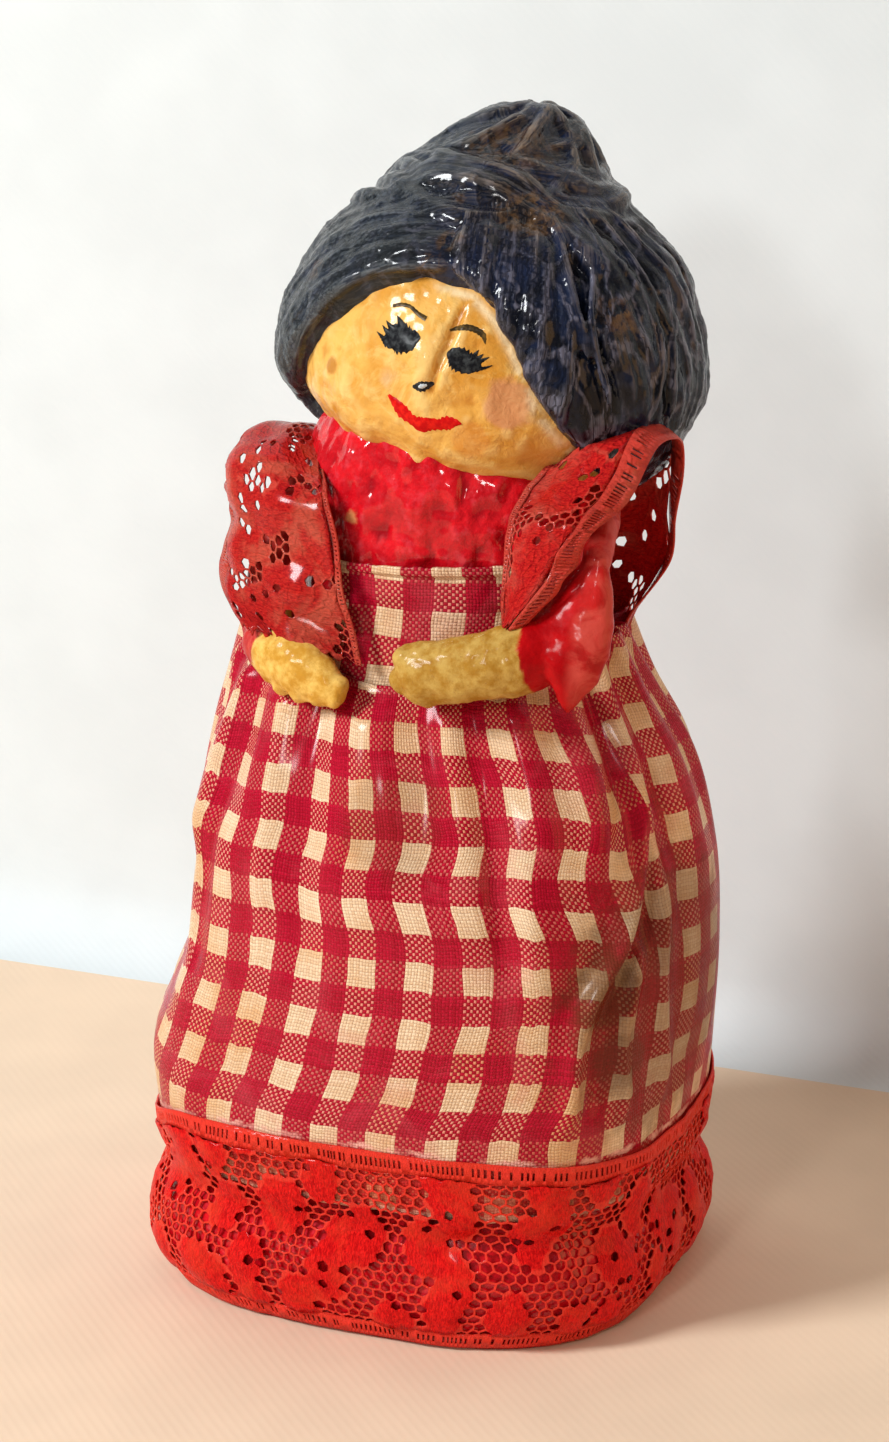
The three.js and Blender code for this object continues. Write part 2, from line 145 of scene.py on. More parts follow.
def pathThrough(points, count):
    # evenly numbered places along a smooth line through the points
    points = np.array(points, float)
    keys = np.column_stack([np.arange(len(points)), points])
    return throughKeys(keys, np.linspace(0, len(points) - 1, count))[:, 1:]


def insideEdge(x, z, edge):
    # how far each point lies inside the outline (negative outside it)
    inside = np.zeros(len(x), bool)
    nearest = np.full(len(x), 1e9)
    for (x0, z0), (x1, z1) in zip(edge, edge[1:] + edge[:1]):
        crossing = (z0 > z) != (z1 > z)
        inside ^= crossing & (x < (x1 - x0) * (z - z0) / (z1 - z0 + 1e-12) + x0)
        span = (x1 - x0) ** 2 + (z1 - z0) ** 2
        t = np.clip(((x - x0) * (x1 - x0) + (z - z0) * (z1 - z0)) / span, 0, 1)
        nearest = np.minimum(nearest, np.hypot(x - x0 - t * (x1 - x0), z - z0 - t * (z1 - z0)))
    return np.where(inside, nearest, -nearest)


def gridFaces(rows, columns, wrap):
    steps = columns if wrap else columns - 1
    r, c = np.meshgrid(np.arange(rows - 1), np.arange(steps), indexing="ij")
    n = (c + 1) % columns
    quads = np.stack([r * columns + c, r * columns + n, (r + 1) * columns + n, (r + 1) * columns + c], -1)
    return quads.reshape(-1, 4).tolist()


def newPiece(name, points, faces, material):
    mesh = bpy.data.meshes.new(name)
    mesh.from_pydata((np.asarray(points) * mm).tolist(), [], faces)
    mesh.update()
    piece = bpy.data.objects.new(name, mesh)
    scene.collection.objects.link(piece)
    if material:
        mesh.materials.append(material)
    mesh.shade_smooth()
    return piece


def pointsOf(mesh):
    flat = np.empty(len(mesh.vertices) * 3)
    mesh.vertices.foreach_get("co", flat)
    return flat.reshape(-1, 3) / mm


def normalsOf(mesh):
    flat = np.empty(len(mesh.vertices) * 3)
    mesh.vertex_normals.foreach_get("vector", flat)
    return flat.reshape(-1, 3)


def skinTree(piece):
    faces = [tuple(p.vertices) for p in piece.data.polygons]
    return BVHTree.FromPolygons(pointsOf(piece.data).tolist(), faces)


def movePoints(mesh, points):
    mesh.vertices.foreach_set("co", (points * mm).ravel())
    mesh.update()


def bake(piece):
    # the modifiers' result becomes the piece's own mesh
    graph = bpy.context.evaluated_depsgraph_get()
    mesh = bpy.data.meshes.new_from_object(piece.evaluated_get(graph))
    piece.modifiers.clear()
    old, piece.data = piece.data, mesh
    bpy.data.meshes.remove(old)
    mesh.name = piece.name
    return piece


def fuse(piece, voxel, ease=0.0):
    # one closed skin over everything in the mesh
    skin = piece.modifiers.new("skin", "REMESH")
    skin.mode, skin.voxel_size = "VOXEL", voxel * mm
    if ease:
        soft = piece.modifiers.new("ease", "SMOOTH")
        soft.factor, soft.iterations = ease, 1
    bake(piece)
    piece.data.shade_smooth()
    return piece


def storeRelief(mesh, rounds, reach):
    # how far each point stands out of (1) or lies in (0) the surface around it
    points, normals = pointsOf(mesh), normalsOf(mesh)
    ends = np.empty(len(mesh.edges) * 2, np.int64)
    mesh.edges.foreach_get("vertices", ends)
    a, b = ends.reshape(-1, 2).T
    count = np.bincount(a, minlength=len(points)) + np.bincount(b, minlength=len(points))
    eased = points.copy()
    for _ in range(rounds):
        total = np.empty_like(eased)
        for axis in range(3):
            total[:, axis] = np.bincount(a, eased[b, axis], len(points))
            total[:, axis] += np.bincount(b, eased[a, axis], len(points))
        eased = total / np.maximum(count, 1)[:, None]
    height = np.einsum("ij,ij->i", points - eased, normals) / reach
    storeValue(mesh, "relief", np.clip(0.5 + 0.5 * height, 0, 1))


def storeValue(mesh, name, values):
    layer = mesh.attributes.get(name) or mesh.attributes.new(name, "FLOAT", "POINT")
    layer.data.foreach_set("value", np.asarray(values, np.float32))


def storeVector(mesh, name, values):
    layer = mesh.attributes.get(name) or mesh.attributes.new(name, "FLOAT_VECTOR", "POINT")
    layer.data.foreach_set("vector", np.asarray(values, np.float32).ravel())


# ---------- material tools ----------

def newMaterial(name, **finish):
    material = bpy.data.materials.new(name)
    material.use_nodes = True
    shader = material.node_tree.nodes["Principled BSDF"]
    shader.inputs["Specular IOR Level"].default_value = 0.04
    for socket, value in finish.items():
        shader.inputs[socket.replace("_", " ")].default_value = value
    return material, material.node_tree, shader


def add(tree, kind, inputs, **settings):
    made = tree.nodes.new(kind)
    for name, value in settings.items():
        setattr(made, name, value)
    for key, value in inputs.items():
        if isinstance(value, bpy.types.NodeSocket):
            tree.links.new(value, made.inputs[key])
        else:
            made.inputs[key].default_value = value
    return made


def calc(tree, operation, a, b=0.0, c=0.0):
    return add(tree, "ShaderNodeMath", {0: a, 1: b, 2: c}, operation=operation).outputs[0]


def times(tree, a, b):
    return calc(tree, "MULTIPLY", a, b)


def mixed(tree, share, first, second):
    made = add(tree, "ShaderNodeMix", {0: share, 6: first, 7: second}, data_type="RGBA")
    return made.outputs[2]


def wash(tree, under, mask, share, colour):
    # lays a colour over what is there, where the mask shows
    return mixed(tree, times(tree, mask, share), under, colour)


def stretch(tree, value, low, high, bottom=0.0, top=1.0):
    made = add(
        tree, "ShaderNodeMapRange", {0: value, 1: low, 2: high, 3: bottom, 4: top},
        interpolation_type="SMOOTHSTEP"
    )
    return made.outputs[0]


def noise(tree, where, perMetre, detail=3.0, rough=0.55, warp=0.0):
    made = add(
        tree, "ShaderNodeTexNoise",
        {"Vector": where, "Scale": perMetre, "Detail": detail, "Roughness": rough, "Distortion": warp}
    )
    return made.outputs[0]


def objectPlace(tree):
    return add(tree, "ShaderNodeTexCoord", {}).outputs["Object"]


def value(tree, name):
    return add(tree, "ShaderNodeAttribute", {}, attribute_name=name).outputs["Fac"]


def storedVector(tree, name):
    return add(tree, "ShaderNodeAttribute", {}, attribute_name=name).outputs["Vector"]


def part(tree, vector, axis):
    return add(tree, "ShaderNodeSeparateXYZ", {0: vector}).outputs["XYZ".index(axis)]


def patch(tree, where, centre, size, ragged=0.35, seedScale=700.0):
    # a soft-edged blot round one spot: 1 in the middle, 0 outside
    away = add(
        tree, "ShaderNodeVectorMath", {0: where, 1: [c * mm for c in centre]}, operation="DISTANCE"
    ).outputs["Value"]
    away = calc(tree, "DIVIDE", away, size * mm)
    edge = calc(tree, "MULTIPLY_ADD", noise(tree, where, seedScale, 4.0), 2 * ragged, 1.0 - ragged)
    return stretch(tree, calc(tree, "DIVIDE", away, edge), 0.65, 1.0, 1.0, 0.0)


def bumps(tree, shader, height, depth):
    made = add(tree, "ShaderNodeBump", {"Height": height, "Distance": depth * mm, "Strength": 1.0})
    tree.links.new(made.outputs[0], shader.inputs["Normal"])


def colourBy(tree, shader, paint):
    tree.links.new(paint, shader.inputs["Base Color"])


# ---------- the painted torso, from the foot to the throat ----------

torso = {
    # height, half width, half depth, squareness, lean to the figure's left
    "rings": [
        (0.0, 27.0, 24.4, 3.0, -0.5), (1.2, 27.8, 24.9, 3.0, -0.5), (5, 29.7, 26.2, 3.0, -0.6),
        (10, 29.2, 25.9, 3.0, -0.5), (15, 27.2, 24.2, 2.9, -0.3), (26, 26.2, 23.6, 2.8, 0.0),
        (40, 24.6, 22.0, 2.7, 0.2), (54, 22.0, 19.4, 2.6, 0.3), (65, 18.4, 16.2, 2.4, 0.5),
        (72, 16.2, 14.4, 2.3, 1.0), (79, 15.8, 14.0, 2.3, 1.8), (87, 16.4, 14.2, 2.3, 2.3),
        (93, 16.2, 13.8, 2.2, 2.5), (97, 15.0, 13.0, 2.1, 2.7), (103, 10.6, 10.4, 2.0, 3.4),
    ],
    "columns": 260,
    "throatLumps": 0.9,  # how far the modelled paper stands up, in millimetres
    "footLumps": 0.28,
}


def ovalRing(values, angles, grow):
    # a point of a rounded-square ring for each row of values (half width, half depth, squareness, lean)
    wide, deep, square, lean = values.T
    c, s = np.cos(angles), np.sin(angles)
    x = (wide + grow) * np.sign(c) * np.abs(c) ** (2 / square) + lean
    y = (deep + grow) * np.sign(s) * np.abs(s) ** (2 / square)
    return x, y


def torsoPoint(angles, heights, grow=0.0):
    x, y = ovalRing(throughKeys(torso["rings"], heights)[:, 1:], angles, grow)
    return np.column_stack([x, y, heights])


def buildTorso():
    levels = np.concatenate([np.arange(0, 26, 0.45), np.arange(26, 71, 3.0), np.arange(71, 103.01, 0.34)])
    angles = np.linspace(0, 2 * math.pi, torso["columns"], endpoint=False)
    z, a = [grid.ravel() for grid in np.meshgrid(levels, angles, indexing="ij")]
    points = torsoPoint(a, z)
    outward = points - np.column_stack([points[:, 0] * 0, points[:, 1] * 0, z])
    outward[:, 2] = 0
    outward /= np.linalg.norm(outward, axis=1)[:, None]
    throat = smooth((z - 71) / 6) * smooth((103 - z) / 3)
    foot = smooth(z / 1.5) * (1 - smooth((z - 20) / 8))
    rise = throat * torso["throatLumps"] * (
        roughness(points * (1, 1, 0.5), 3.0, 3) + 0.5 * roughness(points * (1, 1, 0.55), 1.35, 8)
    )
    rise += foot * torso["footLumps"] * roughness(points, 4.0, 12)
    points += outward * rise[:, None]
    faces = gridFaces(len(levels), torso["columns"], True)
    rows = [points]
    first, total = 0, len(points)
    for share in (0.8, 0.5, 0.2):  # the flat underside, closed towards its middle
        ring = points[:torso["columns"]] * share
        ring[:, 2] = 0
        rows.append(ring)
        for i in range(torso["columns"]):
            n = (i + 1) % torso["columns"]
            faces.append((first + n, first + i, total + i, total + n))
        first, total = total, total + torso["columns"]
    rows.append([[0, 0, 0]])
    faces += [(first + (i + 1) % torso["columns"], first + i, total) for i in range(torso["columns"])]
    top = (len(levels) - 1) * torso["columns"]
    faces.append(tuple(range(top, top + torso["columns"])))
    piece = newPiece("paintedTorso", np.vstack(rows), faces, paintedTorsoFinish())
    storeRelief(piece.data, 14, 0.22)
    return piece


def paintedTorsoFinish():
    # red poster paint on lumpy paper under thick varnish, worn to the ochre ground in places, with painted
    # shade in the hollows and a painted highlight on the proud lumps
    material, tree, shader = newMaterial(
        "redPaint", Roughness=0.4, Coat_Weight=0.85, Coat_Roughness=0.09, Coat_IOR=1.38
    )
    where = objectPlace(tree)
    relief = value(tree, "relief")
    streaks = noise(tree, where, 420, 5.0, 0.65, 0.6)
    red = mixed(tree, stretch(tree, streaks, 0.35, 0.7), (0.46, 0.002, 0.008, 1), (0.70, 0.007, 0.014, 1))
    # painted shade: darker red in the hollows
    red = mixed(tree, stretch(tree, relief, 0.45, 0.0), red, (0.32, 0.001, 0.006, 1))
    # painted highlight: paler red on the proud lumps
    proudHighlight = times(
        tree, stretch(tree, relief, 0.55, 0.85), stretch(tree, noise(tree, where, 900, 3.0), 0.45, 0.65)
    )
    red = wash(tree, red, proudHighlight, 0.3, (0.78, 0.07, 0.10, 1))
    for centre, size in (((-4.2, -12.8, 88.6), 1.2), ((-5.5, -13.0, 79.0), 1.8), ((9.0, -13.0, 84.0), 0.8)):
        red = wash(tree, red, patch(tree, where, centre, size, 0.6), 0.8, (0.64, 0.27, 0.10, 1))
    colourBy(tree, shader, red)
    height = calc(
        tree, "ADD", noise(tree, where, 750, 4.0, 0.6), times(tree, noise(tree, where, 260, 2.0), 1.8)
    )
    bumps(tree, shader, height, 0.30)
    return material


torsoPiece = buildTorso()
print("torso:", len(torsoPiece.data.polygons), "faces")


# ---------- the head ----------

head = {
    "centre": (4.8, 3.0, 103.2),
    "wide": 20.4, "deep": 18.8, "up": 18.6, "down": 11.4,
    "upPower": 1.95, "downPower": 2.7,
    # the face's edge against the hair, seen from the front: across and up
    "faceEdge": [
        (20.6, 90.0), (19.6, 96.5), (17.0, 101.2), (14.2, 107.6), (12.2, 111.0), (9.2, 113.5), (3.4, 114.6),
        (-2.4, 112.8), (-7.8, 108.4), (-11.2, 104.6), (-12.9, 100.6), (-13.2, 96.0), (-12.0, 88.0),
    ],
    "tilt": 11.0,  # degrees, crown towards the figure's left
    "lumps": 0.40,
}
tilt = math.radians(head["tilt"])
headTurn = np.array([[math.cos(tilt), 0, math.sin(tilt)], [0, 1, 0], [-math.sin(tilt), 0, math.cos(tilt)]])
headCentre = np.array(head["centre"])


def headReach(ways):
    # how far the head reaches from its centre along each unit direction, in its own frame
    up = ways[:, 2] > 0
    tall = np.where(up, head["up"], head["down"])
    power = np.where(up, head["upPower"], head["downPower"])
    around = np.hypot(ways[:, 0] / head["wide"], ways[:, 1] / head["deep"])
    return (around**power + np.abs(ways[:, 2] / tall) ** power) ** (-1 / power)


def headPlace(local):
    return local @ headTurn.T + headCentre


def buildHead():
    front = np.radians(np.arange(-200, 20, 0.85))
    back = np.radians(np.arange(20, 160, 7.0))
    angles = np.concatenate([front, back])
    rises = np.radians(
        np.concatenate([np.arange(-84, -60, 2.0), np.arange(-60, 62, 0.85), np.arange(62, 88, 3.0)])
    )
    e, a = [grid.ravel() for grid in np.meshgrid(rises, angles, indexing="ij")]
    ways = np.column_stack([np.cos(e) * np.cos(a), np.cos(e) * np.sin(a), np.sin(e)])
    local = ways * headReach(ways)[:, None]
    face = smooth((-ways[:, 1] + 0.1) / 0.4)
    rise = head["lumps"] * (roughness(local, 5.2, 21) + 0.5 * roughness(local, 1.9, 27)) * (0.4 + 0.6 * face)
    x, z = local[:, 0], local[:, 2]
    # a pressed furrow beside the nose, the nose itself, a nub of a chin, a hollow in each cheek
    furrow = np.exp(
        -(((x - 1.0 - 0.10 * (z - 3)) / 0.55) ** 2)
    ) * smooth((z + 0.5) / 2) * smooth((11 - z) / 3)
    nose = np.exp(-(((x + 0.3) / 2.0) ** 2) - ((z - 1.2) / 4.6) ** 2)
    nub = np.exp(-(((x + 0.2) / 1.2) ** 2) - ((z + 7.9) / 0.8) ** 2)
    cheek = np.exp(-(((x - 8.5) / 4.0) ** 2) - ((z + 2.6) / 3.4) ** 2) + np.exp(
        -(((x + 8.2) / 3.2) ** 2) - ((z + 1.6) / 3.0) ** 2
    )
    jawRidge = np.exp(-(((z + 6.0 + 0.10 * x) / 0.9) ** 2)) * smooth((x - 1) / 4)
    rise += 0.45 * lumps(local, 1.7, 29) * smooth((-z - 6.5) / 2.5)  # the paint's ragged lip over the throat
    rise += face * (-0.55 * furrow + 0.75 * nose + 0.55 * nub + 0.35 * cheek + 0.25 * jawRidge)
    local += ways * rise[:, None]
    count = len(angles)
    faces = gridFaces(len(rises), count, True)
    faces.append(tuple(range(count - 1, -1, -1)))
    faces.append(tuple(range(len(local) - count, len(local))))
    piece = newPiece("paintedHead", headPlace(local), faces, faceFinish())
    storeRelief(piece.data, 16, 0.16)
    points = pointsOf(piece.data)
    inside = insideEdge(points[:, 0], points[:, 2], head["faceEdge"])
    rim = np.exp(-(((inside - 0.55) / 0.42) ** 2)) * smooth((points[:, 0] - 3) / 4)
    storeValue(piece.data, "rim", rim)
    return piece


def faceFinish():
    # ochre flesh paint, painted darker brown in the hollows as painted shade and paler on the proud lumps as
    # a painted highlight
    material, tree, shader = newMaterial(
        "ochreFlesh", Roughness=0.4, Coat_Weight=0.42, Coat_Roughness=0.11, Coat_IOR=1.38
    )
    where = objectPlace(tree)
    relief = value(tree, "relief")
    broad = noise(tree, where, 130, 4.0, 0.6, 0.4)
    paint = mixed(tree, stretch(tree, broad, 0.32, 0.68), (0.62, 0.27, 0.035, 1), (0.82, 0.46, 0.11, 1))
    # painted shade: brown in the hollows
    paint = wash(tree, paint, stretch(tree, relief, 0.48, 0.12), 0.75, (0.46, 0.16, 0.015, 1))
    # painted highlight: paler on the proud lumps
    paint = wash(tree, paint, stretch(tree, relief, 0.6, 0.95), 0.5, (0.88, 0.62, 0.24, 1))
    streaks = noise(tree, where, 800, 4.0, 0.7, 1.2)
    paint = wash(tree, paint, stretch(tree, streaks, 0.55, 0.8), 0.4, (0.50, 0.20, 0.03, 1))
    cloudy = stretch(tree, noise(tree, where, 300, 4.0, 0.7, 0.8), 0.50, 0.66)
    paint = wash(tree, paint, cloudy, 0.45, (0.84, 0.58, 0.20, 1))
    blots = (
        ((13.6, -14.0, 102.4), 3.2, (0.60, 0.25, 0.13, 1), 0.7),  # rouge
        ((7.0, -15.5, 111.5), 1.5, (0.46, 0.17, 0.015, 1), 0.6),  # painted shade in the furrow, here and on the next line
        ((6.9, -16.0, 109.2), 1.3, (0.46, 0.17, 0.015, 1), 0.5),
        ((9.7, -14.6, 98.6), 2.4, (0.60, 0.20, 0.03, 1), 0.5),
        ((-7.4, -13.0, 104.8), 1.5, (0.45, 0.17, 0.02, 1), 0.8),
        ((4.5, -15.5, 113.2), 3.0, (0.50, 0.20, 0.03, 1), 0.4),
        # painted highlight on the cheek under the eye on the left
        ((0.5, -17.0, 104.5), 2.2, (0.74, 0.52, 0.30, 1), 0.5),
        ((15.5, -11.0, 97.8), 3.0, (0.55, 0.24, 0.05, 1), 0.5),
    )
    for centre, size, colour, share in blots:
        paint = wash(tree, paint, patch(tree, where, centre, size), share, colour)
    # painted highlight: a pale line along the face's edge against the hair
    rim = times(tree, value(tree, "rim"), stretch(tree, noise(tree, where, 420, 3.0), 0.36, 0.52))
    paint = wash(tree, paint, rim, 0.8, (0.90, 0.70, 0.42, 1))
    colourBy(tree, shader, paint)
    height = calc(
        tree, "ADD", noise(tree, where, 620, 4.0, 0.62, 0.5), times(tree, noise(tree, where, 240, 3.0), 2.2)
    )
    bumps(tree, shader, height, 0.26)
    return material


headPiece = buildHead()
headSkin = skinTree(headPiece)
print("head:", len(headPiece.data.polygons), "faces")


# ---------- the painted features, laid on the head with a brush ----------

# each stroke: (places across and up from the bridge of the nose, widths along it)
features = {
    "bridge": (5.2, 106.0),
    "paintThick": 0.07,
    "eyes": [
        # the eye on the left, and its lashes
        (
            [(-5.0, 2.0), (-4.2, 2.5), (-3.3, 2.6), (-2.2, 2.6), (-1.5, 2.8), (-0.9, 2.9)],
            [1.2, 2.5, 2.9, 2.4, 1.5, 0.25]
        ),
        ([(-3.0, 3.3), (-3.6, 4.1), (-4.1, 4.7)], [1.2, 0.7, 0.08]),
        ([(-3.9, 3.1), (-4.7, 3.6), (-5.3, 4.1)], [1.1, 0.6, 0.08]),
        ([(-4.3, 2.6), (-5.1, 3.1), (-5.7, 3.6)], [1.0, 0.55, 0.08]),
        ([(-4.7, 1.9), (-5.5, 2.4), (-6.3, 2.9)], [0.9, 0.5, 0.08]),
        # the eye on the right, and its lashes
        (
            [(1.9, 1.4), (2.5, 1.3), (3.2, 1.0), (4.0, 0.6), (4.9, 0.3), (5.4, 0.0)],
            [0.4, 1.7, 2.35, 2.2, 1.6, 0.6]
        ),
        ([(4.3, 0.8), (4.8, 1.4), (5.1, 1.9)], [0.8, 0.5, 0.08]),
        ([(4.7, 0.7), (5.3, 1.2), (5.6, 1.5)], [0.7, 0.4, 0.08]),
        ([(4.9, 0.5), (5.6, 0.9), (6.2, 1.2)], [0.7, 0.4, 0.08]),
        ([(5.1, 0.0), (5.9, 0.15), (6.6, 0.4)], [0.5, 0.3, 0.08]),
    ],
    "brows": [
        ([(-4.8, 5.6), (-3.9, 5.8), (-2.8, 5.7), (-1.7, 5.1), (-0.7, 4.7)], [0.3, 0.38, 0.34, 0.42, 0.5]),
        (
            [(1.9, 3.7), (3.0, 4.0), (3.7, 4.1), (4.6, 3.9), (5.4, 3.4), (5.7, 2.5)],
            [0.25, 0.5, 0.6, 0.6, 0.6, 0.1]
        ),
    ],
    "nostril": [([(-1.3, -2.0), (-0.3, -1.9), (0.8, -1.6)], [0.3, 1.1, 0.3])],
    "lips": [
        (
            [
                (-4.4, -3.3), (-3.5, -4.1), (-2.6, -4.9), (-1.6, -5.6), (-0.6, -6.0),
                (0.4, -5.9), (1.4, -5.9), (2.2, -5.7), (3.0, -5.6), (3.7, -5.7),
            ],
            [0.3, 1.1, 1.6, 1.2, 1.7, 1.4, 1.2, 1.5, 0.9, 0.15],
        ),
    ],
    # a painted highlight: the glint on the nose, laid on as a pale stroke
    "glint": [([(-0.6, -1.95), (-0.25, -1.85), (0.15, -1.75)], [0.3, 0.65, 0.3])],
}


def strokeParts(places, widths, thick, start):
    # one brush stroke as a strip of paint, a little thicker down its middle
    along = max(10, int(8 * np.linalg.norm(np.diff(places, axis=0), axis=1).sum() ** 0.8) + 6)
    line = pathThrough(np.column_stack([places, widths]), along)
    step = np.gradient(line[:, :2], axis=0)
    side = np.column_stack([-step[:, 1], step[:, 0]]) / np.linalg.norm(step, axis=1)[:, None]
    across = np.linspace(-1, 1, 9)
    points = []
    for i in range(along):
        for j, t in enumerate(across):
            ragged = 1 + 0.10 * math.sin(i * 1.9 + start) + 0.06 * math.sin(i * 4.1 + j)
            x, z = line[i, :2] + side[i] * t * line[i, 2] / 2 * ragged
            x, z = x + features["bridge"][0], z + features["bridge"][1]
            hit, normal, _, _ = headSkin.ray_cast(Vector((x, -40, z)), Vector((0, 1, 0)))
            lift = 0.012 + thick * (1 - t * t)
            points.append(hit + normal * lift)
    faces = [[start + k for k in quad] for quad in gridFaces(along, 9, False)]
    return points, faces


def buildStrokes(name, strokes, finish, thick):
    points, faces = [], []
    for places, widths in strokes:
        p, f = strokeParts(np.array(places, float), np.array(widths, float), thick, len(points))
        points += p
        faces += f
    piece = newPiece(name, np.array([list(p) for p in points]), faces, finish)
    build = bmesh.new()
    build.from_mesh(piece.data)
    for face in build.faces:  # every strip faces out of the head
        if face.normal.dot(face.calc_center_median() - Vector(headCentre * mm)) < 0:
            face.normal_flip()
    build.to_mesh(piece.data)
    build.free()
    return piece


def brushFinish(name, dark, light, gloss):
    material, tree, shader = newMaterial(name, Roughness=gloss, Coat_Weight=0.08, Coat_Roughness=0.2)
    where = objectPlace(tree)
    patchy = stretch(tree, noise(tree, where, 1500, 3.0, 0.6), 0.40, 0.68)
    colourBy(tree, shader, mixed(tree, patchy, dark, light))
    bumps(tree, shader, noise(tree, where, 2200, 3.0), 0.03)
    return material


def featurePieces():
    # name, strokes, dark and light of the paint, gloss, thickness
    thick = features["paintThick"]
    for name, strokes, finish, dark, light, gloss, high in (
        ("inkedEyes", "eyes", "blackInk", (0.006, 0.006, 0.008, 1), (0.040, 0.044, 0.046, 1), 0.45, thick),
        ("inkedBrows", "brows", "brownInk", (0.035, 0.022, 0.008, 1), (0.14, 0.085, 0.025, 1), 0.45, 0.04),
        ("inkedNose", "nostril", "noseInk", (0.012, 0.012, 0.014, 1), (0.05, 0.05, 0.05, 1), 0.35, thick),
        # the nose's glint is a painted highlight, a pale stroke
        ("paintedNoseGlint", "glint", "paleGlintPaint", (0.50, 0.56, 0.60, 1), (0.76, 0.80, 0.84, 1), 0.3, thick + 0.07),
        ("paintedLips", "lips", "lipRed", (0.52, 0.003, 0.004, 1), (0.74, 0.014, 0.008, 1), 0.35, 0.12),
    ):
        yield buildStrokes(name, features[strokes], brushFinish(finish, dark, light, gloss), high)


strokePieces = list(featurePieces())
print("features painted")


# ---------- the modelled hair ----------

hair = {
    "coat": 2.2,  # how far the hair's mass lies outside the head
    "underFace": 2.0,  # how far it dips under the face where the face is open
    "faceBack": -3.0,  # the opening ends this far back
    "knotBalls": [  # centre and radius of the lumps of the top knot
        ((4.8, 5.0, 112.0), 15.2), ((5.4, 7.0, 118.6), 10.8), ((7.6, 8.6, 123.2), 6.6),
        ((7.9, 9.2, 125.8), 4.0), ((12.6, 6.0, 113.6), 9.0), ((17.6, 4.0, 109.2), 8.6),
    ],
    "massVoxel": 0.8,
    "voxel": 0.30,
    "ringPoints": 8,
    "seed": 41,
}
hairRandom = random.Random(hair["seed"])


def ball(subdivisions):
    build = bmesh.new()
    bmesh.ops.create_icosphere(build, subdivisions=subdivisions, radius=1.0)
    ways = np.array([list(v.co) for v in build.verts])
    faces = [[v.index for v in f.verts] for f in build.faces]
    build.free()
    return ways / np.linalg.norm(ways, axis=1)[:, None], faces


def joined(parts):
    points, faces = [], []
    for partPoints, partFaces in parts:
        start = sum(len(p) for p in points)
        faces += [[start + k for k in face] for face in partFaces]
        points.append(np.asarray(partPoints))
    return np.vstack(points), faces


def hairMass():
    ways, faces = ball(6)
    skin = headPlace(ways * headReach(ways)[:, None])
    openFace = smooth(insideEdge(skin[:, 0], skin[:, 2], head["faceEdge"]) / 1.1 + 0.5) * (
        skin[:, 1] < hair["faceBack"]
    )
    under = smooth((99 - skin[:, 2]) / 6) * smooth((skin[:, 1] + 4) / -6)  # nothing hangs before the throat
    coat = hair["coat"] - (hair["coat"] + hair["underFace"]) * np.maximum(openFace, under)
    parts = [(headPlace(ways * (headReach(ways) + coat)[:, None]), faces)]
    small, smallFaces = ball(4)
    for centre, radius in hair["knotBalls"]:
        parts.append((small * radius + centre, smallFaces))
    points, faces = joined(parts)
    mass = fuse(newPiece("hairMass", points, faces, None), hair["massVoxel"], 0.5)
    soft = mass.modifiers.new("ease", "SMOOTH")
    soft.factor, soft.iterations = 0.5, 6
    return bake(mass)


